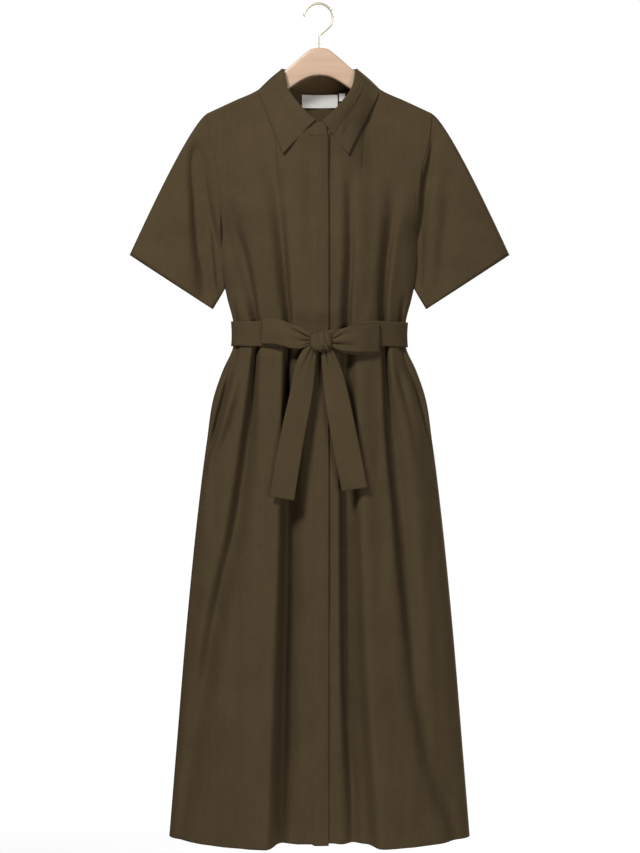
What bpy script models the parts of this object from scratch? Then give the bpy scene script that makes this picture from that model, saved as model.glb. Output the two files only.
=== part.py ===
"""A short-sleeved shirt dress, tied at the waist with its own belt and hung on a wooden hanger.

Metres, +Z up, front towards -Y, +X to the left of someone wearing it. The origin is the inside top
of the hanger's hook, where a rail carries it. Sizes and tables below are in millimetres.

The body is a stack of levels. At each level the cloth is a flattened tube: front and back panels
that meet at the side seams, or at the armholes above the underarm. Levels bend up near the top to
follow the shoulders and the neckline. Pleats that fall from the belt are pressed into the tube.
"""

import math

import bmesh
import bpy
import numpy as np

MM = 0.001

# Cloth, and the gaps left at seams
CLOTH = 1.2
BELT_CLOTH = 2.0
LABEL_CLOTH = 0.8
SEAM = 1.2
PIECE_GAP = 0.3
ON_TOP = 2.6

# Neck and collar
NECK_HALF = 74.0
NECK_FRONT_REACH = 46.0
NECK_BACK_REACH = 38.0
NECK_BLUNT = 7.5
NECK_FRONT_Z = -224.0
NECK_BACK_Z = -139.0
FOLD_HALF = 61.0
FOLD_FRONT_REACH = 43.0
FOLD_BACK_REACH = 34.0
FOLD_FRONT_Z = -203.0
FOLD_BACK_Z = -109.0
FOLD_SIDE_Z = -105.0
STAND_LIFT = 1.6
COLLAR_SIDE = (103.0, -140.0)
COLLAR_BACK_DEPTH = 58.0
COLLAR_CLEAR = 4.0
COLLAR_BOW = 6.0
COLLAR_POINTS = {-1: (-59.5, -256.0), 1: (47.5, -256.0)}
COLLAR_POINT_REACH = 46.0
COLLAR_STARTS = {-1: 7.0, 1: 5.0}
COLLAR_BACK_OUT = 8.0
COLLAR_STEPS = (0.35, 0.7, 1.0)

# Shoulders, underarm, hem and front edge
SHOULDER_TIP = 187.0
SHOULDER_Z = -181.0
SHOULDER_REST = 2.4
SHOULDER_ROUND = 8.0
UNDERARM_Z = -388.0
HEM_Z = -1380.0
OVERLAP = 15.0
UNDER_STEP = 2.2

# Sleeves: top and bottom corners of the hem, and the underarm seam's end
SLEEVE_TOP = (315.0, -416.0)
SLEEVE_CORNER = (178.0, -505.0)
SLEEVE_UNDER = (167.0, -467.0)
SLEEVE_FULLNESS = 17.0
SLEEVE_TURN = 0.8
SLEEVE_LEAD = 0.15
SLEEVE_SWELL = 4.0
SLEEVE_HEAD = (7.0, 26.0)
SLEEVE_STEPS = [0, 0.12, 0.28, 0.5, 0.75, 1.0]

# Belt and bow
BELT_TOP = -527.0
BELT_BOTTOM = -568.0
KNOT_CENTRE = (2.4, -60.0, -563.0)
KNOT_SIZE = (34.0, 21.0, 32.0)
BAND_OUT = CLOTH / 2 + BELT_CLOTH / 2 + 1.6
LOOP_SIDE = 1.5
LOOP_BEHIND = 1.5
LOOP_LIFT = 5.0
LOOP_PUFF = (4.5, 5.0)
TAIL_OUT = (7.0, 5.0)
TAIL_DROP = (140.0, 236.0)
TAIL_SLANT = 0.15

# Hanger
HOOK_WIRE = 4.0
HOOK_BEND = 23.6
HOOK_CENTRE_X = -1.7
HOOK_SWEEP = (176, -38)
HOOK_SLANT = [(2.0, -48.5), (0.0, -51.5)]
HANGER_THICK = 12.0
HANGER_NOSE = 186.0
HANGER_EDGE = 3.0


def table(names, rows):
    """A short table as {column name: array}."""
    return dict(zip(names.split(), np.array(rows, float).T, strict=True))


# Half of the tube at each level, from shoulder to hem
BODY = table(
    "z half_width front back armhole",
    [
        (-181, 187, 34, 30, 2),
        (-232, 181, 38, 32, 16),
        (-276, 170, 43, 34, 22),
        (-346, 164, 47, 37, 15),
        (-388, 163, 48, 39, 0),
        (-440, 162, 48, 40, 0),
        (-487, 153, 46, 39, 0),
        (-527, 143, 44, 37, 0),
        (-548, 141, 44, 36, 0),
        (-568, 143, 45, 37, 0),
        (-607, 160, 50, 40, 0),
        (-647, 174, 55, 43, 0),
        (-727, 187, 64, 48, 0),
        (-847, 202, 74, 54, 0),
        (-1005, 218, 84, 60, 0),
        (-1244, 238, 94, 66, 0),
        (-1380, 249, 100, 69, 0),
    ],
)
# The hanger's wooden body, from its middle outwards
HANGER = table(
    "x top bottom",
    [
        (0, -72, -118),
        (15, -75, -120),
        (29, -85.5, -126),
        (52, -105.5, -141),
        (75, -125, -156),
        (102, -144.5, -170),
        (140, -162, -184),
        (181, -181, -198),
    ],
)
# Pleats pressed into the cloth: where each runs, how deep it is, and how far it spreads each way
PLEATS = {
    "front_outer_right": table(
        "z x depth inner outer",
        [
            (-365, -137, 0, 8, 12),
            (-447, -116, 5, 7, 13),
            (-527, -103, 12, 7, 13),
            (-640, -109, 12, 9, 17),
            (-800, -129, 11, 11, 18),
            (-1010, -171, 9, 13, 18),
            (-1215, -205, 6, 14, 16),
            (-1380, -228, 3, 14, 10),
        ],
    ),
    "front_inner_right": table(
        "z x depth inner outer",
        [
            (-270, -71, 0, 10, 10),
            (-390, -60, 5, 10, 9),
            (-527, -52, 11, 11, 7),
            (-640, -48, 14, 18, 8),
            (-860, -52, 15, 20, 9),
            (-1100, -58, 15, 20, 10),
            (-1380, -64, 12, 18, 10),
        ],
    ),
    "front_inner_left": table(
        "z x depth inner outer",
        [
            (-280, 51, 0, 10, 10),
            (-430, 51, 5, 10, 8),
            (-527, 46, 9, 11, 7),
            (-620, 42, 14, 14, 8),
            (-830, 37, 13, 9, 12),
            (-1100, 39, 12, 8, 12),
            (-1300, 52, 11, 9, 12),
            (-1380, 54, 10, 9, 12),
        ],
    ),
    "front_outer_left": table(
        "z x depth inner outer",
        [
            (-340, 119, 0, 10, 12),
            (-440, 107, 6, 9, 11),
            (-527, 106, 12, 7, 10),
            (-640, 111, 13, 8, 15),
            (-850, 127, 10, 10, 18),
            (-1015, 144, 8, 13, 18),
            (-1190, 165, 6, 14, 18),
            (-1380, 226, 3, 14, 12),
        ],
    ),
    "back_right": table(
        "z x depth inner outer",
        [
            (-330, -96, 0, 10, 12),
            (-527, -84, 10, 8, 11),
            (-700, -92, 11, 10, 17),
            (-1000, -118, 10, 13, 22),
            (-1380, -150, 9, 16, 26),
        ],
    ),
    "back_middle": table(
        "z x depth inner outer",
        [
            (-360, 12, 0, 10, 12),
            (-527, 8, 8, 9, 9),
            (-700, 5, 9, 12, 14),
            (-1000, -4, 9, 17, 19),
            (-1380, -12, 9, 22, 24),
        ],
    ),
    "back_left": table(
        "z x depth inner outer",
        [
            (-345, 101, 0, 10, 12),
            (-527, 92, 9, 8, 10),
            (-700, 99, 11, 10, 16),
            (-1000, 124, 10, 13, 21),
            (-1380, 158, 8, 16, 25),
        ],
    ),
}
# The middle of the front skirt hangs behind the two wide ridges beside it
SKIRT_RECESS = table(
    "z right left depth soft",
    [
        (-500, -52, 52, 0, 5),
        (-600, -54, 56, 7, 5),
        (-830, -60, 62, 15, 6),
        (-1100, -66, 71, 28, 8),
        (-1380, -72, 88, 45, 10),
    ],
)
# Edges of the two ends of the belt that hang from the knot
TAILS = {
    "belt_tail_right": table(
        "z right left",
        [
            (-581, -33, -8),
            (-640, -45, -12),
            (-712, -62, -24),
            (-817, -79, -42),
        ],
    ),
    "belt_tail_left": table(
        "z right left",
        [
            (-581, 4, 24),
            (-624, 5, 40),
            (-690, 15, 55),
            (-802, 36, 77),
        ],
    ),
}
# Top and bottom edges of each bow loop, from the knot outwards
LOOPS = {
    "belt_loop_right": table(
        "x top bottom",
        [(-17, -551, -564), (-27, -544, -571), (-45, -537, -573), (-72, -526, -567), (-93, -524, -565)],
    ),
    "belt_loop_left": table(
        "x top bottom",
        [(22, -553, -570), (31, -546, -574), (51, -539, -578), (75, -536, -579), (97, -534, -578)],
    ),
}

# How a bow loop runs: share of its length, and 1 on its face or 0 on its back
LOOP_PATH = table(
    "share layer",
    [(0, 1), (0.3, 1), (0.6, 1), (0.9, 1), (1, 0.5), (0.92, 0), (0.6, 0), (0.3, 0), (0, 0)],
)

LEVELS = [SHOULDER_Z, -183, -187, -194, -210, -238, -270, -304, -336, -364, -388]
LEVELS += [-420, -455, -490, -512, -527, -548, -568, -588, -612, -650]
LEVELS += [-705, -775, -860, -955, -1060, -1170, -1280, HEM_Z]
SHOULDER_COLUMNS = 7
COLUMN_ROOM = 5.0
MOST_ROOM = 40.0
RING_ANGLES = [25, 55, 70, 82, 90, 98, 110, 125, 140, 155, 168.3]
NECK_ANGLES = [11.7, 25, 40, 55, 70, 82, 90]
FRONT_GUIDES = {
    -1: ["front_inner_right", None, None, "front_outer_right", 0.93, 0.985, 1.0],
    1: ["front_inner_left", None, None, "front_outer_left", 0.93, 0.985, 1.0],
}
BACK_GUIDES = {
    -1: ["back_middle", None, None, "back_right", None, 0.93, 0.985, 1.0],
    1: ["back_middle", None, None, "back_left", None, 0.93, 0.985, 1.0],
}

OLIVE = (0.078, 0.052, 0.027)
BEECH = (0.72, 0.52, 0.38)
BRASS = (0.76, 0.66, 0.46)
TAPE = (0.62, 0.61, 0.58)


def along(rows, column, at, key="z"):
    """A cubic through one column of a table, with each row's slope taken from its neighbours."""
    order = np.argsort(rows[key])
    xs = rows[key][order]
    ys = rows[column][order]
    slope = np.gradient(ys, xs)
    at = np.clip(np.asarray(at, float), xs[0], xs[-1])
    i = np.clip(np.searchsorted(xs, at) - 1, 0, len(xs) - 2)
    step = xs[i + 1] - xs[i]
    t = (at - xs[i]) / step
    rise = 3 * t**2 - 2 * t**3
    bend = (t**3 - 2 * t**2 + t) * slope[i] + (t**3 - t**2) * slope[i + 1]
    return ys[i] + rise * (ys[i + 1] - ys[i]) + step * bend


def ramp(value):
    """A smooth step from 0 to 1."""
    t = np.clip(value, 0, 1)
    return t * t * (3 - 2 * t)


def ring_reach(sine, deep):
    """How far a neck ring stands from the middle plane: an oval, blunt where it crosses the hanger."""
    cosine = np.sqrt(np.clip(1 - sine**2, 0, 1))
    return NECK_BLUNT * np.tanh(12 * cosine) + (deep - NECK_BLUNT) * cosine**1.2


def neckline(x, front):
    """(reach from the middle plane, height) of the neck seam at x."""
    u = np.clip(np.abs(x) / NECK_HALF, 0, 1)
    side = along(HANGER, "top", NECK_HALF, "x") + SHOULDER_REST
    if front:
        past = np.clip((np.abs(x) - OVERLAP) / (NECK_HALF - OVERLAP), 0, 1)
        rise = 0.8 * past + 0.2 * past**8
        return ring_reach(u, NECK_FRONT_REACH), NECK_FRONT_Z + (side - NECK_FRONT_Z) * rise
    return ring_reach(u, NECK_BACK_REACH), NECK_BACK_Z + (side - NECK_BACK_Z) * u**2.5


def top_edge(x, front):
    """Height of the panel's top edge: the neck seam, then the shoulder seam on the hanger."""
    shoulder = along(HANGER, "top", np.abs(x), "x") + SHOULDER_REST
    past = np.clip(np.abs(x) - HANGER["x"][-1], 0, None)
    shoulder = shoulder - 0.46 * past
    return np.where(np.abs(x) < NECK_HALF, neckline(x, front)[1], shoulder)


def fade(level):
    """How much of the top edge's shape is left at a level: 1 at the top, 0 at the underarm."""
    return np.clip((level - UNDERARM_Z) / (SHOULDER_Z - UNDERARM_Z), 0, 1)


def height(x, level, front):
    """Levels are flat below the underarm and bend up to the shoulder and neck seams above it."""
    return level + (top_edge(x, front) - SHOULDER_Z) * fade(level)


def level_at(x, z, front):
    """The level that passes through (x, z)."""
    lift = top_edge(x, front) - SHOULDER_Z
    span = SHOULDER_Z - UNDERARM_Z
    above = (z + lift * UNDERARM_Z / span) / (1 + lift / span)
    return np.where(z < UNDERARM_Z, z, np.minimum(above, SHOULDER_Z))


def reach(x, level, front):
    """Distance of the smooth cloth from the middle plane: a flattened oval, pinched at the top."""
    across = np.clip(np.abs(x) / along(BODY, "half_width", level), 0, 1)
    arm = along(BODY, "armhole", level)
    full = along(BODY, "front" if front else "back", level)
    section = arm + (full - arm) * (1 - across**2) ** 0.7
    below = np.clip((top_edge(x, front) - height(x, level, front)) / SHOULDER_ROUND, 0, 1)
    top = np.maximum(neckline(x, front)[0], SHOULDER_ROUND * np.sqrt(1 - (1 - below) ** 2))
    kept = ramp(fade(level))
    return top * kept + section * (1 - kept)


def pleats(x, z, front):
    """How far the pleats press the cloth in: troughs with a steep side and a soft side."""
    depth = np.zeros(np.broadcast(x, z).shape)
    for name, rows in PLEATS.items():
        if name.startswith("front") != front:
            continue
        middle = along(rows, "x", z)
        off = (x - middle) * np.where(middle < 0, -1, 1)
        spread = np.where(off > 0, along(rows, "outer", z), along(rows, "inner", z))
        faded = ramp((rows["z"][0] - z) / 40)
        depth = depth + along(rows, "depth", z) * np.exp(-((off / spread) ** 2)) * faded
    if front:
        soft = along(SKIRT_RECESS, "soft", z)
        sides = np.tanh((x - along(SKIRT_RECESS, "right", z)) / soft)
        sides = sides - np.tanh((x - along(SKIRT_RECESS, "left", z)) / soft)
        depth = depth + along(SKIRT_RECESS, "depth", z) * sides / 2 * ramp((-500 - z) / 40)
    return depth


def panel_points(x, level, front, out=0.0):
    """Points of the front or back cloth at columns x and levels, moved out from it."""
    z = height(x, level, front)
    y = np.maximum(reach(x, level, front) - pleats(x, z, front), SEAM / 2) + out
    return np.stack([x, -y if front else y, z], -1)


def columns(guides, level, front):
    """Columns of one half: the neck and shoulder ones at the top, along the pleats lower down."""
    side = np.sign(next(PLEATS[g]["x"][2] for g in guides[3:] if isinstance(g, str)))
    top = [NECK_HALF * math.sin(math.radians(a)) for a in NECK_ANGLES]
    top += list(np.linspace(NECK_HALF, SHOULDER_TIP, SHOULDER_COLUMNS + 1)[1:])
    width = float(along(BODY, "half_width", level))
    low = [OVERLAP]
    for guide in guides:
        if isinstance(guide, str):
            rows = PLEATS[guide]
            middle = float(along(rows, "x", level)) * side
            inner = float(along(rows, "inner", level))
            outer = float(along(rows, "outer", level))
            low += [middle - inner, middle, middle + outer]
        elif guide is None:
            low.append(math.nan)
        else:
            low.append(guide * width)
    low = np.array(low)
    known = ~np.isnan(low)
    low = np.interp(np.arange(len(low)), np.flatnonzero(known), low[known])
    low = np.maximum.accumulate(np.maximum(low, OVERLAP))
    room = COLUMN_ROOM * (len(low) - 1 - np.arange(len(low)))
    low = np.minimum(low, width - np.minimum(room, MOST_ROOM))
    low[-1] = width
    low = np.interp(np.linspace(0, 1, len(top)), np.linspace(0, 1, len(low)), low)
    high = np.array(top) * width / SHOULDER_TIP
    high[: len(NECK_ANGLES)] = top[: len(NECK_ANGLES)]
    kept = float(ramp(fade(level)))
    return side * (kept * high + (1 - kept) * low)


def grid_object(name, points, colour, thickness, closed=False):
    """An open sheet of four-sided faces through a grid of points, thickened both ways."""
    rows, cols = points.shape[:2]
    index = np.arange(rows * cols).reshape(rows, cols)
    if closed:
        index = np.concatenate([index, index[:, :1]], axis=1)
    corners = [index[:-1, :-1], index[:-1, 1:], index[1:, 1:], index[1:, :-1]]
    faces = np.stack(corners, -1).reshape(-1, 4)
    mesh = bpy.data.meshes.new(name)
    mesh.from_pydata((points.reshape(-1, 3) * MM).tolist(), [], faces.tolist())
    obj = place(name, mesh, colour)
    wall = obj.modifiers.new("cloth", "SOLIDIFY")
    wall.thickness = thickness * MM
    wall.offset = 0
    return obj


def place(name, data, colour, roughness=0.85, metallic=0.0):
    """A named object in the dress's collection, with its own material."""
    obj = bpy.data.objects.new(name, data)
    material = bpy.data.materials.new(name)
    material.use_nodes = True
    shader = material.node_tree.nodes["Principled BSDF"]
    shader.inputs["Base Color"].default_value = (*colour, 1)
    shader.inputs["Roughness"].default_value = roughness
    shader.inputs["Metallic"].default_value = metallic
    data.materials.append(material)
    bpy.data.collections["shirt_dress"].objects.link(obj)
    return obj


def under_lap(x):
    """1 where the left front lies under the right one, fading to 0 beside it."""
    return 1 - ramp((x - 1.4 * OVERLAP) / OVERLAP)


def front_panel(name, side, step):
    """One front, from its edge past the middle out to the side seam."""
    rows = []
    for level in LEVELS:
        x = columns(FRONT_GUIDES[side], level, True)
        x = np.concatenate([[-side * OVERLAP], x])
        line = panel_points(x, level, True)
        line[:, 1] += step * under_lap(side * x)
        rows.append(line)
    points = np.array(rows)
    if side > 0:
        points = points[:, ::-1]
    return grid_object(name, points[:, ::-1], OLIVE, CLOTH)


def back_panel():
    """The back, in one piece from side seam to side seam."""
    rows = []
    for level in LEVELS:
        right = columns(BACK_GUIDES[-1], level, False)
        left = columns(BACK_GUIDES[1], level, False)
        x = np.concatenate([right[::-1], [0.0], left])
        rows.append(panel_points(x, level, False))
    return grid_object("back", np.array(rows), OLIVE, CLOTH)


def armhole_ring():
    """Down the front armhole and up the back one: points, share of the way down, and side."""
    levels = np.array([z for z in LEVELS if z >= UNDERARM_Z])
    width = along(BODY, "half_width", levels)
    halves = []
    for front in (True, False):
        edge = panel_points(width, levels, front)
        edge[:, 0] += SEAM
        edge[0, 2] += PIECE_GAP
        edge[[0, -1], 1] = 0
        gone = np.linalg.norm(np.diff(edge, axis=0), axis=1)
        share = np.concatenate([[0], np.cumsum(gone)]) / gone.sum()
        halves.append((edge, share, np.full(len(share), -1.0 if front else 1.0)))
    return [np.concatenate([down, up[-2:0:-1]]) for down, up in zip(*halves, strict=True)]


def sleeve_hem(share, sign):
    """The sleeve's hem: straight from the top fold to the corner, then up to the underarm seam."""
    turn = share[np.argmin(np.abs(share - SLEEVE_TURN))]
    corners = np.array([SLEEVE_TOP, SLEEVE_CORNER, SLEEVE_UNDER])
    x = np.interp(share, [0, turn, 1], corners[:, 0])
    z = np.interp(share, [0, turn, 1], corners[:, 1])
    y = sign * SLEEVE_FULLNESS * np.clip(np.sin(np.pi * share), 0, 1) ** 0.7
    return np.stack([x, y, z], -1)


def sleeve(name, side):
    """A tube from the armhole to the hem: each column is a bowed line between the two rings."""
    start, share, sign = armhole_ring()
    end = sleeve_hem(share, sign)
    head = np.cos(np.pi / 2 * share) ** 2
    swell = sign * SLEEVE_SWELL * np.sin(np.pi * share)
    bend = start + SLEEVE_LEAD * (end - start)
    bend += np.stack([SLEEVE_HEAD[0] * head, swell, SLEEVE_HEAD[1] * head], -1)
    t = np.array(SLEEVE_STEPS)[:, None, None]
    points = (1 - t) ** 2 * start + 2 * t * (1 - t) * bend + t**2 * end
    points[..., 0] *= side
    if side < 0:
        points = points[:, ::-1]
    return grid_object(name, points, OLIVE, CLOTH, closed=True)


def neck_ring(angle):
    """The neck seam at an angle from the middle of the back, and the fold line above it."""
    front = np.abs(angle) > 90
    turn = np.radians(angle)
    sine = np.sin(turn)
    x = NECK_HALF * sine
    z = np.where(front, neckline(x, True)[1], neckline(x, False)[1])
    y = np.where(front, -ring_reach(sine, NECK_FRONT_REACH), ring_reach(sine, NECK_BACK_REACH))
    seam = np.stack([x, y, z + STAND_LIFT], -1)
    u = np.abs(sine)
    front_rise = 0.7 * u**1.1 + 0.3 * u**10
    fold_z = np.where(
        front,
        FOLD_FRONT_Z + (FOLD_SIDE_Z - FOLD_FRONT_Z) * front_rise,
        FOLD_BACK_Z + (FOLD_SIDE_Z - FOLD_BACK_Z) * u**2,
    )
    fold_y = np.where(front, -ring_reach(sine, FOLD_FRONT_REACH), ring_reach(sine, FOLD_BACK_REACH))
    fold = np.stack([FOLD_HALF * sine, fold_y, fold_z], -1)
    return seam, fold


def collar_stand():
    """A band round the neck from one front end to the other, the right end lapping the left."""
    half = [0, *RING_ANGLES, 180, 190]
    angles = np.array([-a for a in half[:0:-1]] + half)
    seam, fold = neck_ring(angles.astype(float))
    lap = np.where(angles > 90, under_lap(seam[:, 0]), 0)
    for edge in (seam, fold):
        edge[:, 1] += UNDER_STEP * lap
    rows = [seam + (fold - seam) * t for t in (0.0, 0.5, 1.0)]
    return grid_object("collar_stand", np.array(rows)[::-1], OLIVE, CLOTH)


def clear_of_body(points):
    """Moves points out until they clear the panels that they lie on."""
    x, y, z = points.T
    lifted = points.copy()
    for front, sign in ((True, -1), (False, 1)):
        on_it = (y * sign > 0) & (z < top_edge(x, front) - 1) & (np.abs(x) < SHOULDER_TIP)
        level = level_at(x, z, front)
        least = reach(x, level, front) + COLLAR_CLEAR
        lifted[:, 1] = np.where(on_it & (np.abs(y) < least), sign * least, lifted[:, 1])
    over = (np.abs(x) > NECK_HALF) & (np.abs(y) < SHOULDER_ROUND + COLLAR_CLEAR)
    lifted[:, 2] = np.where(over, np.maximum(z, top_edge(x, True) + COLLAR_CLEAR), lifted[:, 2])
    return lifted


def collar_end(side):
    """The angle at which the collar starts on one side of the front edge."""
    return 180 - math.degrees(math.asin(COLLAR_STARTS[side] / FOLD_HALF))


def collar_edge(angle):
    """The collar's outer edge: straight from each point up to the shoulder, round behind it."""
    side = -1 if angle < 0 else 1
    side_x, side_z = COLLAR_SIDE
    if abs(angle) > 90:
        tip_x, tip_z = COLLAR_POINTS[side]
        t = (abs(angle) - 90) / (collar_end(side) - 90)
        x = side * side_x + (tip_x - side * side_x) * t
        return np.array([x, -COLLAR_POINT_REACH * t**0.7, side_z + (tip_z - side_z) * t])
    turn = math.radians(angle)
    back_z = FOLD_BACK_Z - COLLAR_BACK_DEPTH
    lift = abs(math.sin(turn)) ** 3
    y = (NECK_BACK_REACH + COLLAR_BACK_OUT) * math.cos(turn) ** 0.8
    return np.array([side_x * math.sin(turn), y, back_z + (side_z - back_z) * lift])


def collar():
    """The turned-down part: from the fold line out over the stand to its edge and two points."""
    mirrored = [-a for a in RING_ANGLES[::-1]]
    angles = np.array([-collar_end(-1), *mirrored, 0, *RING_ANGLES, collar_end(1)])
    seam, fold = neck_ring(angles)
    along_fold = neck_ring(angles + 1)[1] - neck_ring(angles - 1)[1]
    up = (fold - seam) / np.linalg.norm(fold - seam, axis=1)[:, None]
    out = np.cross(up, along_fold)
    out = out / np.linalg.norm(out, axis=1)[:, None]
    crown = fold + up * (CLOTH + PIECE_GAP)
    roll = crown + out * (CLOTH * 2 + PIECE_GAP) - up * CLOTH
    edge = np.array([collar_edge(a) for a in angles])
    rows = [crown, roll]
    for t in COLLAR_STEPS:
        bow = out * COLLAR_BOW * math.sin(math.pi * t)
        rows.append(clear_of_body(roll + (edge - roll) * t + bow))
    return grid_object("collar", np.array(rows)[:, ::-1], OLIVE, CLOTH)


def belt_ring(z, out):
    """A closed line round the waist, moved out from the smooth cloth."""
    turn = np.radians(np.arange(0, 360, 10.0) - 180)
    sine = np.sin(turn)
    front = np.cos(turn) < 0
    width = float(along(BODY, "half_width", z)) + out
    deep = np.where(front, -along(BODY, "front", z) - out, along(BODY, "back", z) + out)
    return np.stack([width * sine, deep * np.abs(np.cos(turn)) ** 1.3, np.full_like(sine, z)], -1)


def belt_band():
    """The belt where it goes round the waist."""
    rows = [belt_ring(z, BAND_OUT) for z in (BELT_TOP, (BELT_TOP + BELT_BOTTOM) / 2, BELT_BOTTOM)]
    return grid_object("belt_band", np.array(rows), OLIVE, BELT_CLOTH, closed=True)


def belt_knot():
    """The knot: a rounded lump in front of the band."""
    work = bmesh.new()
    bmesh.ops.create_uvsphere(work, u_segments=16, v_segments=10, radius=0.5)
    for vert in work.verts:
        vert.co = [c * size * MM for c, size in zip(vert.co, KNOT_SIZE, strict=True)]
    mesh = bpy.data.meshes.new("belt_knot")
    work.to_mesh(mesh)
    work.free()
    obj = place("belt_knot", mesh, OLIVE)
    obj.location = [c * MM for c in KNOT_CENTRE]
    return obj


def belt_front(x, z):
    """How far forward something lies that rests on the belt or on the ridges of the skirt."""
    z = np.asarray(z, float)
    return reach(x, np.minimum(z, BELT_TOP), True) + CLOTH / 2 + BELT_CLOTH + ON_TOP


def belt_loop(name, rows):
    """A strip that leaves the knot, turns back at its end and returns behind itself."""
    side = 1 if rows["x"][0] > 0 else -1
    near = abs(rows["x"][0]) + LOOP_SIDE
    far = abs(rows["x"][-1])
    share, layer = LOOP_PATH["share"], LOOP_PATH["layer"]
    x = side * (near + (far - near) * share)
    top = along(rows, "top", x, "x")
    bottom = along(rows, "bottom", x, "x")
    behind = belt_front(x, (top + bottom) / 2) + LOOP_BEHIND + LOOP_LIFT * (1 - share) ** 1.5
    puff = LOOP_PUFF[0] + LOOP_PUFF[1] * np.sin(np.pi * np.minimum(share, 0.95)) ** 0.8
    lines = [np.stack([x, -(behind + layer * puff), top + (bottom - top) * t], -1) for t in (0, 1 / 3, 2 / 3, 1)]
    points = np.stack(lines, 1)
    if side > 0:
        points = points[:, ::-1]
    return grid_object(name, points, OLIVE, BELT_CLOTH)


def belt_tail(name, rows):
    """An end of the belt hanging from the knot, just clear of the skirt's ridges."""
    side = 1 if name.endswith("left") else -1
    made = []
    for z in np.linspace(rows["z"][0], rows["z"][-1], 9):
        x = np.linspace(float(along(rows, "right", z)), float(along(rows, "left", z)), 3)
        knot_end = ramp((z - rows["z"][-1] + TAIL_DROP[0]) / TAIL_DROP[1])
        forward = float(reach(x.mean(), z, True)) + TAIL_OUT[0] + TAIL_OUT[1] * knot_end
        slant = side * TAIL_SLANT * (x - x.mean()) * ramp((rows["z"][0] - z) / 60)
        made.append(np.stack([x, np.full(3, -forward), z + slant], -1))
    return grid_object(name, np.array(made), OLIVE, BELT_CLOTH)


def label(name, x_middle, width, z_top, tall):
    """A woven label inside the back neck, made from the back's points moved inwards."""
    x = np.linspace(x_middle - width / 2, x_middle + width / 2, 5)
    rows = []
    for z in (z_top, z_top - tall / 2, z_top - tall):
        level = level_at(x, z, False)
        y = reach(x, level, False) - CLOTH / 2 - LABEL_CLOTH / 2 - PIECE_GAP - 1.2
        rows.append(np.stack([x, y, np.full_like(x, z)], -1))
    return grid_object(name, np.array(rows)[::-1], TAPE, LABEL_CLOTH)


def hanger_body():
    """A flat wooden yoke cut from one outline, with rounded edges."""
    xs = np.linspace(0, HANGER["x"][-1], 19)
    top = along(HANGER, "top", xs, "x")
    bottom = along(HANGER, "bottom", xs, "x")
    half = [(x, z) for x, z in zip(xs, top, strict=True)]
    nose = [(HANGER_NOSE, (top[-1] + bottom[-1]) / 2)]
    under = [(x, z) for x, z in zip(xs[::-1], bottom[::-1], strict=True)]
    right = half + nose + under
    outline = right + [(-x, z) for x, z in right[::-1] if x > 0]
    curve = bpy.data.curves.new("hanger_outline", "CURVE")
    curve.dimensions = "2D"
    curve.fill_mode = "BOTH"
    curve.extrude = (HANGER_THICK / 2 - HANGER_EDGE) * MM
    curve.bevel_depth = HANGER_EDGE * MM
    curve.bevel_resolution = 1
    curve.offset = -HANGER_EDGE * MM
    spline = curve.splines.new("POLY")
    spline.points.add(len(outline) - 1)
    for point, (x, z) in zip(spline.points, outline, strict=True):
        point.co = (x * MM, z * MM, 0, 1)
    spline.use_cyclic_u = True
    obj = place("hanger_body", curve, BEECH, roughness=0.5)
    obj.rotation_euler = (math.pi / 2, 0, 0)
    return obj


def hanger_hook():
    """Bent wire: a stem, a slant and a round hook that opens to the wearer's right."""
    centre_z = HOOK_WIRE / 2 - HOOK_BEND
    angles = np.radians(np.linspace(*HOOK_SWEEP, 22))
    arc = [(HOOK_CENTRE_X + HOOK_BEND * math.cos(a), centre_z + HOOK_BEND * math.sin(a)) for a in angles]
    stem_foot = float(along(HANGER, "top", 0, "x")) + PIECE_GAP
    path = [*arc, *HOOK_SLANT, (0.0, stem_foot)]
    curve = bpy.data.curves.new("hanger_hook", "CURVE")
    curve.dimensions = "3D"
    curve.bevel_depth = HOOK_WIRE / 2 * MM
    curve.bevel_resolution = 2
    curve.use_fill_caps = True
    spline = curve.splines.new("POLY")
    spline.points.add(len(path) - 1)
    for point, (x, z) in zip(spline.points, path, strict=True):
        point.co = (x * MM, 0, z * MM, 1)
    return place("hanger_hook", curve, BRASS, roughness=0.3, metallic=1.0)


def main():
    for obj in list(bpy.data.objects):
        bpy.data.objects.remove(obj)
    bpy.context.scene.collection.children.link(bpy.data.collections.new("shirt_dress"))
    hanger_body()
    hanger_hook()
    front_panel("front_right", -1, 0.0)
    front_panel("front_left", 1, UNDER_STEP)
    back_panel()
    sleeve("sleeve_right", -1)
    sleeve("sleeve_left", 1)
    collar_stand()
    collar()
    belt_band()
    belt_knot()
    for name, rows in LOOPS.items():
        belt_loop(name, rows)
    for name, rows in TAILS.items():
        belt_tail(name, rows)
    label("label_main", 0.5, 60.0, -143.0, 22.0)
    label("label_size", 38.0, 10.0, -141.0, 13.0)


main()
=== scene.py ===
"""Looks for a shirt dress tied at the waist and hung on a wooden hanger.

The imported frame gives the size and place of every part. This add-on lays fine cloth, thread, wood and
wire on it. Sizes in the tables are in millimetres; the front faces -Y and +X is the wearer's left.
"""

import math

import bmesh
import bpy
import numpy as np
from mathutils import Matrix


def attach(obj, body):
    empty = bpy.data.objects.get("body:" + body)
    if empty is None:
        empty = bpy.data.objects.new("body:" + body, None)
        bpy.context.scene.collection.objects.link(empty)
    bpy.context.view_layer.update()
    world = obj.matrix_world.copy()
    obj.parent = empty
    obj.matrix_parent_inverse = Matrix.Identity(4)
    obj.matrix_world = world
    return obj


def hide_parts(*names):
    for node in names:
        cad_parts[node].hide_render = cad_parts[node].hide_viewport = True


bl_info = {
    "name": "Shirt dress on a hanger",
    "version": (1, 0, 0),
    "blender": (4, 5, 0),
    "location": "3D View > Sidebar > Shirt dress",
    "description": "Cloth, stitching, hanger and studio for a belted shirt dress",
    "category": "Add Mesh",
}

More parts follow.
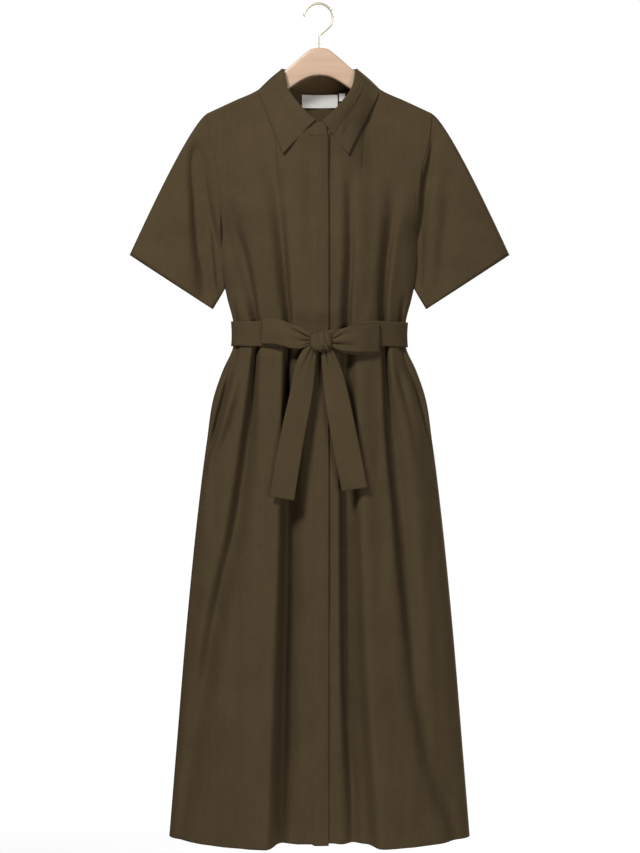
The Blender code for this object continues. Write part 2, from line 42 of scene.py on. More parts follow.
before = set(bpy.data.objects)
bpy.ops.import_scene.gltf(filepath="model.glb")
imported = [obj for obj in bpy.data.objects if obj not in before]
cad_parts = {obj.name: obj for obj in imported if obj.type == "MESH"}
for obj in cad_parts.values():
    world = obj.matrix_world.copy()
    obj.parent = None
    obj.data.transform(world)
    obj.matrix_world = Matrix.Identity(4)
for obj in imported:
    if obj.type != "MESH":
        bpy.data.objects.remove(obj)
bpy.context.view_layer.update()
MM = 0.001


def table(names, rows):
    """A short table as {column name: array}."""
    return dict(zip(names.split(), np.array(rows, float).T, strict=True))


def crease(*rows):
    """One fold: at each height its place, its depth and how far it spreads to the right and left."""
    return table("z x depth right left", rows)


# Neck, shoulders, hem
NECK_HALF = 74.0
NECK_FRONT_REACH = 46.0
NECK_BACK_REACH = 38.0
NECK_BLUNT = 7.5
NECK_FRONT_Z = -224.0
NECK_BACK_Z = -139.0
FOLD_HALF = 59.5
FOLD_FRONT_REACH = 43.0
FOLD_BACK_REACH = 34.0
FOLD_FRONT_Z = -203.0
FOLD_BACK_Z = -109.0
FOLD_SIDE_Z = -110.0
STAND_LIFT = 1.6
COLLAR_SIDE = (103.0, -140.0)
COLLAR_BACK_DEPTH = 58.0
COLLAR_BACK_OUT = 8.0
COLLAR_CLEAR = 2.6
COLLAR_BOW = 4.5
COLLAR_POINTS = {-1: (-60.0, -254.0), 1: (47.5, -256.0)}
COLLAR_POINT_REACH = 33.0
COLLAR_STARTS = {-1: 7.0, 1: 5.0}
SHOULDER_TIP = 187.0
SHOULDER_Z = -181.0
SHOULDER_REST = 2.4
SHOULDER_ROUND = 8.0
UNDERARM_Z = -388.0
HEM_Z = -1380.0
OVERLAP = 15.0
UNDER_STEP = 2.2
PLACKET_STITCH = -11.0

# Sleeves
SLEEVE_TOP = (315.0, -416.0)
SLEEVE_CORNER = (178.0, -505.0)
SLEEVE_UNDER = (157.0, -472.0)
SLEEVE_FULLNESS = 17.0
SLEEVE_TURN = 0.8
SLEEVE_LEAD = 0.15
SLEEVE_SWELL = 4.0
SLEEVE_HEAD = (7.0, 26.0)

# Belt
BELT_TOP = -527.0
BELT_BOTTOM = -568.0
BAND_OUT = 3.2
KNOT_CENTRE = (2.4, -60.0, -563.0)
KNOT_SIZE = (36.0, 21.0, 33.0)

# Hanger
HOOK_WIRE = 4.0
HOOK_BEND = 23.6
HOOK_CENTRE_X = -1.7
HOOK_SWEEP = (176, -38)
HANGER_THICK = 12.0
HANGER_NOSE = 186.0

# Half of the tube at each level
BODY = table("z half_width front back armhole", [
    (-181, 187, 34, 30, 2), (-232, 181, 38, 32, 16), (-276, 170, 43, 34, 22), (-346, 164, 47, 37, 15),
    (-388, 163, 48, 39, 0), (-440, 162, 48, 40, 0), (-487, 153, 46, 39, 0), (-527, 143, 44, 37, 0),
    (-548, 141, 44, 36, 0), (-568, 143, 45, 37, 0), (-607, 160, 50, 40, 0), (-647, 174, 55, 43, 0),
    (-727, 187, 64, 48, 0), (-847, 202, 74, 54, 0), (-1005, 218, 84, 60, 0), (-1244, 238, 94, 66, 0),
    (-1380, 249, 100, 69, 0),
])
# Top and bottom of the hanger's wooden body, from its middle outwards
HANGER = table("x top bottom", [
    (0, -72, -118), (15, -75, -120), (29, -85.5, -126), (52, -105.5, -141), (75, -125, -156),
    (102, -144.5, -170), (140, -162, -184), (181, -181, -198),
])
# Folds of the front: where each runs, how deep it is, and how far it spreads to -X and to +X
FRONT_FOLDS = {
    "right_outer": crease(
        (-310, -145, 0, 17, 10), (-370, -138, 9, 17, 9), (-430, -121, 16, 16, 7), (-505, -106, 19, 12, 4),
        (-548, -103, 20, 5, 5), (-590, -106, 24, 5, 5), (-640, -110, 26, 6, 7), (-720, -119, 26, 8, 15),
        (-830, -133, 25, 10, 19), (-1010, -170, 19, 12, 20), (-1215, -205, 12, 14, 18),
        (-1380, -228, 5, 10, 14),
    ),
    "right_inner": crease(
        (-200, -84, 0, 14, 8), (-250, -79, 8, 14, 8), (-300, -71, 13, 15, 8), (-390, -61, 18, 14, 7),
        (-470, -54, 20, 12, 5), (-520, -50, 20, 9, 4), (-568, -53, 22, 4, 5), (-600, -54, 27, 4, 7),
        (-680, -55, 30, 4, 15), (-780, -55, 31, 5, 22), (-900, -56, 31, 5, 26), (-1100, -60, 28, 6, 25),
        (-1250, -64, 22, 8, 22), (-1340, -67, 15, 8, 19), (-1380, -68, 12, 9, 18),
    ),
    "left_inner": crease(
        (-255, 51, 0, 9, 12), (-330, 51, 8, 9, 8), (-430, 51, 13, 10, 6), (-520, 47, 16, 11, 5),
        (-568, 44, 18, 8, 7), (-640, 40, 22, 7, 12), (-830, 39, 26, 5, 17), (-1000, 40, 26, 5, 18),
        (-1130, 43, 24, 6, 17), (-1220, 48, 21, 8, 14), (-1310, 53, 16, 9, 12), (-1380, 54, 12, 9, 12),
    ),
    "left_outer": crease(
        (-270, 126, 0, 15, 10), (-350, 120, 11, 14, 8), (-440, 110, 18, 11, 6), (-510, 106, 18, 8, 4),
        (-568, 107, 22, 4, 5), (-620, 109, 26, 4, 7), (-700, 113, 25, 5, 16), (-850, 127, 22, 6, 22),
        (-1015, 145, 18, 9, 22), (-1190, 167, 13, 12, 20), (-1300, 195, 7, 14, 14), (-1380, 226, 3, 14, 12),
    ),
    "right_sliver": crease(
        (-470, -151, 0, 6, 6), (-520, -138, 6, 5, 3), (-548, -135, 7, 4, 3), (-590, -143, 6, 4, 6),
        (-650, -157, 3, 6, 8), (-710, -166, 0, 8, 8),
    ),
    "left_sliver": crease(
        (-470, 143, 0, 6, 6), (-515, 135, 6, 3, 4), (-548, 133, 7, 3, 4), (-585, 140, 6, 5, 5),
        (-640, 160, 3, 8, 6), (-700, 170, 0, 8, 8),
    ),
    "right_pocket_mouth": crease(
        (-600, -146, 0, 4, 4), (-650, -158, 10, 5, 4), (-705, -173, 12, 5, 4), (-765, -190, 7, 4, 4),
        (-800, -196, 0, 4, 5),
    ),
    "right_pocket_ridge": crease(
        (-590, -132, 0, 7, 8), (-640, -143, -12, 7, 11), (-705, -161, -13, 6, 10), (-765, -181, -6, 5, 9),
        (-800, -187, 0, 5, 8),
    ),
    "left_pocket_mouth": crease(
        (-600, 147, 0, 4, 4), (-650, 166, 9, 5, 5), (-705, 180, 11, 5, 4), (-745, 186, 6, 4, 3),
        (-775, 190, 0, 4, 3),
    ),
    "left_waist_drag": crease(
        (-585, 122, 0, 5, 5), (-620, 132, 4, 4, 8), (-690, 150, 3, 6, 10), (-780, 168, 0, 8, 12),
    ),
    "right_chest_drag": crease(
        (-250, -150, 0, 12, 12), (-330, -146, 3, 14, 12), (-420, -136, 3, 14, 12), (-500, -124, 0, 10, 10),
    ),
    "left_chest_drag": crease(
        (-215, 84, 0, 12, 12), (-300, 88, 2, 16, 14), (-420, 84, 3, 14, 12), (-520, 78, 2, 10, 10),
    ),
    "left_skirt_rise": crease(
        (-1000, 205, 0, 16, 20), (-1150, 196, 5, 16, 18), (-1290, 208, 6, 14, 16), (-1380, 222, 4, 12, 14),
    ),
}
# The middle of the front skirt hangs behind the two wide ridges beside it
SKIRT_RECESS = table("z right left depth soft", [
    (-500, -52, 52, 0, 4), (-600, -55, 56, 8, 4), (-830, -60, 61, 15, 5), (-1100, -66, 71, 28, 7),
    (-1380, -72, 88, 45, 9),
])
BACK_FOLDS = {
    "right": crease(
        (-320, -98, 0, 14, 10), (-460, -88, 7, 12, 7), (-527, -84, 12, 9, 5), (-580, -86, 12, 6, 8),
        (-700, -92, 11, 15, 9), (-1000, -118, 10, 21, 13), (-1380, -150, 9, 25, 16),
    ),
    "middle": crease(
        (-350, 13, 0, 10, 12), (-527, 8, 10, 9, 6), (-700, 5, 9, 11, 15), (-1000, -4, 9, 17, 19),
        (-1380, -12, 9, 22, 24),
    ),
    "left": crease(
        (-340, 102, 0, 10, 13), (-460, 95, 6, 8, 11), (-527, 92, 12, 5, 9), (-580, 94, 12, 8, 6),
        (-700, 99, 11, 9, 15), (-1000, 124, 10, 13, 21), (-1380, 158, 8, 16, 25),
    ),
    "right_small": crease(
        (-480, -34, 0, 6, 6), (-548, -31, 7, 5, 6), (-620, -36, 5, 8, 10), (-860, -48, 0, 14, 16),
    ),
    "left_small": crease(
        (-470, 51, 0, 6, 6), (-548, 49, 7, 6, 4), (-640, 55, 5, 10, 8), (-900, 66, 0, 16, 14),
    ),
    "right_side": crease(
        (-470, -130, 0, 6, 6), (-548, -122, 6, 5, 4), (-600, -130, 5, 5, 7), (-700, -150, 0, 8, 10),
    ),
    "left_side": crease(
        (-480, 128, 0, 6, 6), (-548, 123, 6, 4, 5), (-590, 131, 5, 7, 5), (-720, 155, 0, 10, 8),
    ),
}
# Folds of the sleeves, on the front half of each; the back half repeats them a little shallower
SLEEVE_FOLDS = {
    -1: {
        "long": crease(
            (-212, -203, 0, 8, 8), (-250, -205, 13, 9, 17), (-330, -202, 22, 10, 21),
            (-410, -197, 20, 11, 20), (-470, -191, 12, 12, 17), (-510, -190, 3, 14, 12),
        ),
        "diagonal": crease(
            (-270, -200, 0, 6, 6), (-320, -189, 7, 6, 8), (-391, -173, 13, 7, 8), (-440, -167, 15, 7, 9),
            (-480, -163, 12, 7, 9),
        ),
        "outer": crease(
            (-300, -244, 0, 14, 14), (-370, -250, 3, 18, 16), (-430, -246, 2, 18, 16),
            (-470, -240, 0, 14, 14),
        ),
    },
    1: {
        "gap": crease(
            (-205, 190, 0, 4, 6), (-250, 184, 7, 4, 9), (-300, 176, 12, 8, 10), (-374, 168, 15, 9, 9),
            (-440, 164, 15, 8, 9), (-480, 162, 10, 8, 10),
        ),
        "outer": crease(
            (-250, 214, 0, 14, 14), (-330, 212, 4, 12, 16), (-410, 204, 5, 12, 16), (-490, 198, 2, 12, 14),
        ),
    },
}
# Outlines of the two ends of the belt that hang from the knot, and how much each is gathered there
TAILS = {
    "tail_right": table("z right left", [
        (-562, -15, -2), (-577, -27, -5), (-600, -38, -7), (-640, -46, -11), (-712, -62, -24),
        (-817, -80, -41),
    ]),
    "tail_left": table("z right left", [
        (-562, 3, 16), (-577, 3, 22), (-600, 4, 32), (-640, 8, 44), (-690, 15, 55), (-802, 36, 77),
    ]),
}
# Top and bottom edges of each bow loop, from the knot outwards
LOOPS = {
    "loop_right": table("x top bottom", [
        (-12, -553, -565), (-17, -549, -568), (-27, -542, -573), (-45, -535, -573), (-60, -528, -569),
        (-74, -524, -566), (-93, -524, -565),
    ]),
    "loop_left": table("x top bottom", [
        (17, -553, -568), (22, -551, -572), (31, -545, -576), (51, -538, -579), (75, -535, -579),
        (97, -533, -578),
    ]),
}
# Gathers in the bow: where across the strip each starts and ends, its depth, and how far out it reaches
GATHERS = {
    "loop_right": table("start end depth length", [
        (0.36, 0.08, 5.6, 0.84), (0.62, 0.66, 5.0, 0.56), (0.85, 0.90, 2.6, 0.3),
    ]),
    "loop_left": table("start end depth length", [
        (0.32, 0.22, 5.2, 0.62), (0.66, 0.84, 5.2, 0.78), (0.12, 0.06, 2.4, 0.3),
    ]),
    "tail_right": table("start end depth length", [(0.62, 0.22, 4.2, 0.34), (0.90, 0.72, 3.0, 0.2)]),
    "tail_left": table("start end depth length", [(0.30, 0.55, 4.8, 0.36), (0.80, 0.86, 2.6, 0.22)]),
}


def along(rows, column, at, key="z"):
    """A cubic through one column of a table, with each row's slope taken from its neighbours."""
    order = np.argsort(rows[key])
    xs = rows[key][order]
    ys = rows[column][order]
    slope = np.gradient(ys, xs)
    at = np.clip(np.asarray(at, float), xs[0], xs[-1])
    i = np.clip(np.searchsorted(xs, at) - 1, 0, len(xs) - 2)
    step = xs[i + 1] - xs[i]
    t = (at - xs[i]) / step
    rise = 3 * t**2 - 2 * t**3
    bend = (t**3 - 2 * t**2 + t) * slope[i] + (t**3 - t**2) * slope[i + 1]
    return ys[i] + rise * (ys[i + 1] - ys[i]) + step * bend


def ramp(value):
    """A smooth step from 0 to 1."""
    t = np.clip(value, 0, 1)
    return t * t * (3 - 2 * t)


def ring_reach(sine, deep):
    """Distance of a neck ring from the middle plane: an oval, blunt where it crosses the hanger."""
    cosine = np.sqrt(np.clip(1 - sine**2, 0, 1))
    return NECK_BLUNT * np.tanh(12 * cosine) + (deep - NECK_BLUNT) * cosine**1.2


def neckline(x, front):
    """(distance from the middle plane, height) of the neck seam at x."""
    u = np.clip(np.abs(x) / NECK_HALF, 0, 1)
    side = along(HANGER, "top", NECK_HALF, "x") + SHOULDER_REST
    if front:
        past = np.clip((np.abs(x) - OVERLAP) / (NECK_HALF - OVERLAP), 0, 1)
        rise = 0.8 * past + 0.2 * past**8
        return ring_reach(u, NECK_FRONT_REACH), NECK_FRONT_Z + (side - NECK_FRONT_Z) * rise
    return ring_reach(u, NECK_BACK_REACH), NECK_BACK_Z + (side - NECK_BACK_Z) * u**2.5


def top_edge(x, front):
    """Height of a panel's top edge: the neck seam, then the shoulder seam on the hanger."""
    shoulder = along(HANGER, "top", np.abs(x), "x") + SHOULDER_REST
    past = np.clip(np.abs(x) - HANGER["x"][-1], 0, None)
    return np.where(np.abs(x) < NECK_HALF, neckline(x, front)[1], shoulder - 0.46 * past)


def fade(level):
    """Share of the top edge's shape left at a level: 1 at the top, 0 at the underarm."""
    return np.clip((level - UNDERARM_Z) / (SHOULDER_Z - UNDERARM_Z), 0, 1)


def height(x, level, front):
    """Levels are flat below the underarm and bend up to the shoulder and neck seams above it."""
    return level + (top_edge(x, front) - SHOULDER_Z) * fade(level)


def level_at(x, z, front):
    """The level that passes through (x, z)."""
    lift = top_edge(x, front) - SHOULDER_Z
    span = SHOULDER_Z - UNDERARM_Z
    above = (z + lift * UNDERARM_Z / span) / (1 + lift / span)
    return np.where(z < UNDERARM_Z, z, np.minimum(above, SHOULDER_Z))


def reach(x, level, front):
    """Distance of the smooth cloth from the middle plane: a flattened oval, pinched at the top."""
    across = np.clip(np.abs(x) / along(BODY, "half_width", level), 0, 1)
    arm = along(BODY, "armhole", level)
    full = along(BODY, "front" if front else "back", level)
    section = arm + (full - arm) * (1 - across**2) ** 0.7
    below = np.clip((top_edge(x, front) - height(x, level, front)) / SHOULDER_ROUND, 0, 1)
    top = np.maximum(neckline(x, front)[0], SHOULDER_ROUND * np.sqrt(1 - (1 - below) ** 2))
    kept = ramp(fade(level))
    return top * kept + section * (1 - kept)


def folds(tables, x, z):
    """Depth of all folds at (x, z): each is a trough, a bell curve with its own width on each side."""
    depth = np.zeros(np.broadcast(x, z).shape)
    for rows in tables.values():
        off = x - along(rows, "x", z)
        spread = np.where(off > 0, along(rows, "left", z), along(rows, "right", z))
        inside = ramp((rows["z"][0] - z) / 40) * ramp((z - rows["z"][-1]) / 30 + (rows["z"][-1] <= HEM_Z))
        depth = depth + along(rows, "depth", z) * np.exp(-((off / spread) ** 2)) * inside
    return depth


def recess(x, z):
    """Depth of the middle of the front skirt behind the ridges: a smooth step at each side."""
    soft = along(SKIRT_RECESS, "soft", z)
    sides = np.tanh((x - along(SKIRT_RECESS, "right", z)) / soft)
    sides = sides - np.tanh((x - along(SKIRT_RECESS, "left", z)) / soft)
    return along(SKIRT_RECESS, "depth", z) * sides / 2 * ramp((-500 - z) / 40)


def ripple(x, z, seed):
    """Small uneven creases: long upright waves whose place and height drift slowly."""
    drift = 9 * np.sin(z / 97 + seed) + 5 * np.sin(z / 41 + 2 * seed)
    wave = 0.45 * np.sin((x + drift) / 8.5 + seed) * np.sin(z / 130 + x / 60 + seed)
    wave = wave + 0.35 * np.sin((x - drift) / 4.7 + 3 * seed) * np.sin(z / 71 - x / 37 + 2 * seed)
    cross = 0.3 * np.sin((z + 0.6 * x) / 13 + seed) * np.sin(z / 57 + x / 23 + seed)
    broad = 1.3 * np.sin(
        (x + 0.5 * drift) / 7.4 * (1 + 0.2 * np.sin(seed)) + seed
    ) * (0.55 + 0.45 * np.sin(z / 160 + x / 90 + 2 * seed))
    return wave + cross + broad


def cloth_points(x, level, front, out=0.0, rise=0.0, seed=1.0):
    """Cloth of the front or back: the smooth tube less its folds, moved out, and never past the seam."""
    z = height(x, level, front)
    pressed = folds(FRONT_FOLDS if front else BACK_FOLDS, x, z)
    if front:
        pressed = pressed + recess(x, z)
    calm = ramp((along(BODY, "half_width", level) - np.abs(x)) / 12)
    y = (
        reach(x, level, front) - pressed * (0.25 + 0.75 * calm)
        + ripple(x, z, seed) * calm * ramp((SHOULDER_Z - level) / 30)
    )
    y = y + calm * (
        1.9 * (1 + 0.9 * np.sin(x / 17 + 0.6)) * np.exp(-(((z + 581) / 14) ** 2))
        + 1.3 * (1 + np.sin(x / 21 + 2)) * np.exp(-(((z + 511) / 15) ** 2))
    )
    y = np.maximum(y + out, 0.12)
    if np.ndim(y) == 2 and y.shape[0] > 1:
        share = ramp((level + 400) / 120) * ramp((SHOULDER_Z - 3 - level) / 12) * ramp((np.abs(x) - 40) / 20)
        for _ in range(40):
            y[:, 1:-1] += share[:, 1:-1] * 0.5 * ((y[:, 2:] + y[:, :-2]) / 2 - y[:, 1:-1])
    return np.stack([x, -y if front else y, z + rise], -1)


def levels_between(count_top, count_low):
    """Levels from the shoulder to the hem, closest at the top, at the underarm and at the belt."""
    top = SHOULDER_Z + (UNDERARM_Z - SHOULDER_Z) * np.linspace(0, 1, count_top) ** 1.35
    low = np.linspace(UNDERARM_Z, HEM_Z, count_low)[1:]
    return np.concatenate([top, low])


def column_grid(levels, counts, start):
    """Columns at each level: along the neck and shoulder seams at the top, evenly spread lower down."""
    lap, neck, shoulder = counts
    first = math.degrees(math.asin(max(start, 0.0) / NECK_HALF))
    ring = NECK_HALF * np.sin(np.radians(np.linspace(first, 90, neck)))
    high = np.concatenate(
        [np.linspace(-OVERLAP, ring[0], lap)[:-1], ring, np.linspace(NECK_HALF, SHOULDER_TIP, shoulder)[1:]]
    )
    if lap == 0:
        high = high[-(neck + shoulder - 1) :]
    share = np.linspace(0, 1, len(high))
    width = along(BODY, "half_width", levels)[:, None]
    low = high[0] + (width - high[0]) * share
    stretched = np.where(
        high > NECK_HALF,
        NECK_HALF + (high - NECK_HALF) * (width - NECK_HALF) / (SHOULDER_TIP - NECK_HALF),
        high,
    )
    kept = ramp(fade(levels))[:, None]
    return kept * stretched + (1 - kept) * low


def lengths(points, closed=False):
    """Cloth coordinates in metres: distance along the last row, and mean distance down the grid."""
    loop = np.concatenate([points, points[:, :1]], axis=1) if closed else points
    across = np.linalg.norm(np.diff(loop[-1], axis=0), axis=-1)
    u = np.concatenate([[0], np.cumsum(across)])[None, :] + np.zeros((len(loop), 1))
    down = np.linalg.norm(np.diff(loop, axis=0), axis=-1).mean(axis=1)
    v = np.concatenate([[0], np.cumsum(down)])[:, None] + np.zeros_like(u)
    return u * MM, -v * MM


def surface(name, points, material, thickness=0.0, closed=False, cloth_uv=None):
    """A mesh through a grid of points, with cloth coordinates in metres and an optional wall."""
    rows, cols = points.shape[:2]
    index = np.arange(rows * cols).reshape(rows, cols)
    if closed:
        index = np.concatenate([index, index[:, :1]], axis=1)
    u, v = cloth_uv or lengths(points, closed)
    quads = [index[:-1, :-1], index[:-1, 1:], index[1:, 1:], index[1:, :-1]]
    corners_u = [u[:-1, :-1], u[:-1, 1:], u[1:, 1:], u[1:, :-1]]
    corners_v = [v[:-1, :-1], v[:-1, 1:], v[1:, 1:], v[1:, :-1]]
    mesh = bpy.data.meshes.new(name)
    mesh.from_pydata((points.reshape(-1, 3) * MM).tolist(), [], np.stack(quads, -1).reshape(-1, 4).tolist())
    layer = mesh.uv_layers.new(name="cloth")
    flat = np.stack([np.stack(corners_u, -1).ravel(), np.stack(corners_v, -1).ravel()], -1)
    layer.data.foreach_set("uv", flat.ravel())
    return finish_piece(name, mesh, material, thickness)


def finish_piece(name, mesh, material, thickness=0.0):
    """An object in the scene that rides on the body, smooth, with a wall if it has a thickness."""
    mesh.shade_smooth()
    mesh.materials.append(material)
    obj = bpy.data.objects.new(name, mesh)
    bpy.context.scene.collection.objects.link(obj)
    if thickness:
        wall = obj.modifiers.new("cloth", "SOLIDIFY")
        wall.thickness = thickness * MM
        wall.offset = 0
    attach(obj, "root")
    return obj


def tubes(name, paths, radii, material, sides=8):
    """Round tubes along many paths at once: rings of points set across each path, closed at both ends."""
    count, steps = paths.shape[:2]
    direction = np.gradient(paths, axis=1)
    direction /= np.linalg.norm(direction, axis=-1, keepdims=True) + 1e-9
    up = np.array([0.0, -1.0, 0.0])
    across = np.cross(direction, up)
    across /= np.linalg.norm(across, axis=-1, keepdims=True) + 1e-9
    up = np.cross(across, direction)
    turn = np.linspace(0, 2 * math.pi, sides, endpoint=False)
    rings = np.cos(turn)[:, None] * across[:, :, None] + np.sin(turn)[:, None] * up[:, :, None]
    points = paths[:, :, None] + rings * np.asarray(radii)[..., None, None]
    index = np.arange(count * steps * sides).reshape(count, steps, sides)
    after = np.roll(index, -1, axis=2)
    quads = np.stack([index[:, :-1], after[:, :-1], after[:, 1:], index[:, 1:]], -1).reshape(-1, 4)
    caps = np.concatenate([index[:, 0, ::-1], index[:, -1]])
    mesh = bpy.data.meshes.new(name)
    mesh.from_pydata((points.reshape(-1, 3) * MM).tolist(), [], quads.tolist() + caps.tolist())
    recalculate(mesh)
    return finish_piece(name, mesh, material)


def recalculate(mesh):
    """Turns all faces outwards."""
    work = bmesh.new()
    work.from_mesh(mesh)
    bmesh.ops.remove_doubles(work, verts=work.verts, dist=1e-7)
    bmesh.ops.recalc_face_normals(work, faces=work.faces)
    work.to_mesh(mesh)
    work.free()


def stitch_paths(line, pitch=3.0, length=2.1, sink=0.25):
    """Short straight runs along a line of points: one stitch each, its ends dipping into the cloth."""
    gone = np.concatenate([[0], np.cumsum(np.linalg.norm(np.diff(line, axis=0), axis=1))])
    starts = np.arange(0, gone[-1] - length, pitch)
    along_line = starts[:, None] + np.linspace(0, length, 5)[None, :]
    points = np.stack([np.interp(along_line, gone, line[:, i]) for i in range(3)], -1)
    dip = np.array([sink * 2, 0, -0.06, 0, sink * 2])
    points[..., 1] += dip * np.where(points[..., 1] < 0, 1, -1)
    return points


class Wire:
    """A socket in a material. Arithmetic on it adds Math nodes."""

    def __init__(self, sheet, socket):
        self.sheet = sheet
        self.socket = socket

    def math(self, operation, *others):
        return self.sheet.node("ShaderNodeMath", {"operation": operation}, dict(enumerate((self, *others))))

    def __add__(self, other):
        return self.math("ADD", other)

    __radd__ = __add__

    def __sub__(self, other):
        return self.math("SUBTRACT", other)

    def __rsub__(self, other):
        return self.sheet.node("ShaderNodeMath", {"operation": "SUBTRACT"}, {0: other, 1: self})

    def __mul__(self, other):
        return self.math("MULTIPLY", other)

    __rmul__ = __mul__

    def sine(self):
        return self.math("SINE")

    def absolute(self):
        return self.math("ABSOLUTE")

    def clamp(self):
        return self.sheet.node("ShaderNodeClamp", {}, {"Value": self})


class Finish:
    """One material: its Principled shader and the nodes that feed it."""

    def __init__(self, name, colour, roughness, **fixed):
        self.material = bpy.data.materials.new(name)
        self.material.use_nodes = True
        self.tree = self.material.node_tree
        self.shader = self.tree.nodes["Principled BSDF"]
        self.shader.inputs["Base Color"].default_value = (*colour, 1)
        self.shader.inputs["Roughness"].default_value = roughness
        for key, value in fixed.items():
            self.shader.inputs[key.replace("_", " ")].default_value = value

    def node(self, kind, settings, inputs, output=0):
        """Adds a node: its settings are set first, then its sockets get values or links."""
        made = self.tree.nodes.new(kind)
        for key, value in settings.items():
            setattr(made, key, value)
        for key, value in inputs.items():
            if isinstance(value, Wire):
                self.tree.links.new(value.socket, made.inputs[key])
            elif value is not None:
                made.inputs[key].default_value = value
        return Wire(self, made.outputs[output])

    def feed(self, name, wire):
        self.tree.links.new(wire.socket, self.shader.inputs[name])

    def noise(self, vector, scale, detail=2.0, rough=0.5):
        return self.node(
            "ShaderNodeTexNoise", {}, {"Vector": vector, "Scale": scale, "Detail": detail, "Roughness": rough}
        )

    def stretched(self, vector, scale):
        """The same coordinates, scaled by a different amount along each axis."""
        return self.node("ShaderNodeVectorMath", {"operation": "MULTIPLY"}, {0: vector, 1: scale})

    def mix(self, share, first, second):
        """A colour between two."""
        inputs = {"Factor": share, 6: (*first, 1) if isinstance(first, tuple) else first}
        inputs[7] = (*second, 1) if isinstance(second, tuple) else second
        return self.node("ShaderNodeMix", {"data_type": "RGBA"}, inputs, 2)

    def bump(self, wire, distance, strength=1.0, under=None):
        return self.node(
            "ShaderNodeBump",
            {},
            {"Strength": strength, "Distance": distance, "Height": wire, "Normal": under},
        )


def dress_cloth(look):
    """Linen-like plain weave: crossing threads, thicker slubs, faint upright streaks and soft mottling."""
    colour = tuple(look.cloth)
    dark = tuple(c * 0.72 for c in colour)
    light = tuple(c * 1.32 for c in colour)
    cloth = Finish(
        "olive_linen",
        colour,
        0.88,
        Specular_IOR_Level=0.03,
        Sheen_Weight=0.03,
        Sheen_Roughness=0.5,
        Sheen_Tint=(0.8, 0.62, 0.36, 1),
    )
    uv = cloth.node("ShaderNodeUVMap", {"uv_map": "cloth"}, {})
    place = cloth.node("ShaderNodeTexCoord", {}, {}, "Object")
    split = cloth.node("ShaderNodeSeparateXYZ", {}, {0: uv})
    u = Wire(cloth, split.socket)
    v = Wire(cloth, split.socket.node.outputs[1])
    turns = 2 * math.pi / look.thread_pitch
    warp = (u * turns).sine()
    weft = (v * turns).sine()
    weave = warp * weft * 0.5 + warp.absolute() * 0.25 + weft.absolute() * 0.25
    warp_slub = cloth.noise(cloth.stretched(uv, (900.0, 26.0, 1.0)), 1.0, 3.0, 0.6)
    weft_slub = cloth.noise(cloth.stretched(uv, (34.0, 900.0, 1.0)), 1.0, 3.0, 0.6)
    streak = cloth.noise(cloth.stretched(uv, (190.0, 7.0, 1.0)), 1.0, 3.0, 0.55)
    mottle = cloth.noise(place, 16.0, 3.0, 0.55)
    heather = cloth.noise(cloth.stretched(uv, (520.0, 420.0, 1.0)), 1.0, 2.0, 0.7)
    shade = (warp_slub + weft_slub) * 0.3 + streak * 0.2 + mottle * 0.4 + heather * 0.24
    share = ((shade - 0.72) * 1.35 + 0.5).clamp()
    cloth.feed("Base Color", cloth.mix(share, dark, light))
    cloth.feed("Roughness", mottle * 0.12 + 0.82)
    creases = cloth.noise(place, 38.0, 3.0, 0.5)
    fine = cloth.noise(cloth.stretched(uv, (260.0, 90.0, 1.0)), 1.0, 3.0, 0.6)
    soft = cloth.bump(creases + fine * 0.35, 0.0022, 0.45)
    threads = weave * 0.5 + (warp_slub + weft_slub) * 0.5
    cloth.feed("Normal", cloth.bump(threads, 0.0003, 0.5, soft))
    return cloth.material


def thread(look):
    """Sewing thread, twisted: fine slanting bands."""
    colour = tuple(min(c * 1.15, 1) for c in look.cloth)
    made = Finish("sewing_thread", colour, 0.7)
    place = made.node("ShaderNodeTexCoord", {}, {}, "Object")
    twist = made.noise(made.stretched(place, (1400.0, 1400.0, 700.0)), 1.0)
    made.feed("Base Color", made.mix(twist, tuple(c * 0.8 for c in colour), colour))
    made.feed("Normal", made.bump(twist, 0.0001, 0.5))
    return made.material


def label_tape(look):
    """Smooth woven tape: very fine ribs across it."""
    colour = tuple(look.tape)
    made = Finish("woven_tape", colour, 0.55, Sheen_Weight=0.2)
    place = made.node("ShaderNodeTexCoord", {}, {}, "Object")
    split = made.node("ShaderNodeSeparateXYZ", {}, {0: place})
    x = Wire(made, split.socket)
    z = Wire(made, split.socket.node.outputs[2])
    ribs = (z * (2 * math.pi / 0.0005)).sine() * 0.5 + (x * (2 * math.pi / 0.0004)).sine() * 0.5
    grain = made.noise(made.stretched(place, (300.0, 300.0, 900.0)), 1.0, 3.0)
    made.feed("Base Color", made.mix(grain, tuple(c * 0.88 for c in colour), colour))
    made.feed("Normal", made.bump(ribs * 0.5 + grain, 0.00012, 0.6))
    return made.material


def beech(look):
    """Pale beech under satin lacquer: long soft grain, short dark flecks and fine pores."""
    pale = tuple(look.wood)
    warm = tuple(c * f for c, f in zip(pale, (0.86, 0.78, 0.70), strict=True))
    made = Finish("beech", pale, 0.42, Coat_Weight=0.25, Coat_Roughness=0.28)
    place = made.node("ShaderNodeTexCoord", {}, {}, "Object")
    grain = made.noise(made.stretched(place, (9.0, 60.0, 120.0)), 1.0, 4.0, 0.6)
    rings = made.noise(made.stretched(place, (3.5, 30.0, 46.0)), 1.0, 2.0)
    fleck = made.noise(made.stretched(place, (170.0, 500.0, 900.0)), 1.0, 2.0, 0.5)
    share = ((grain - 0.5) * 1.3 + (rings - 0.5) * 0.9 + 0.42).clamp()
    body = made.mix(share, pale, warm)
    spots = ((fleck - 0.63) * 6.0).clamp() * 0.4
    made.feed("Base Color", made.mix(spots, body, tuple(c * 0.55 for c in warm)))
    made.feed("Roughness", grain * 0.12 + 0.36)
    made.feed("Normal", made.bump(grain * 0.6 + fleck * 0.4, 0.0002, 0.35))
    return made.material


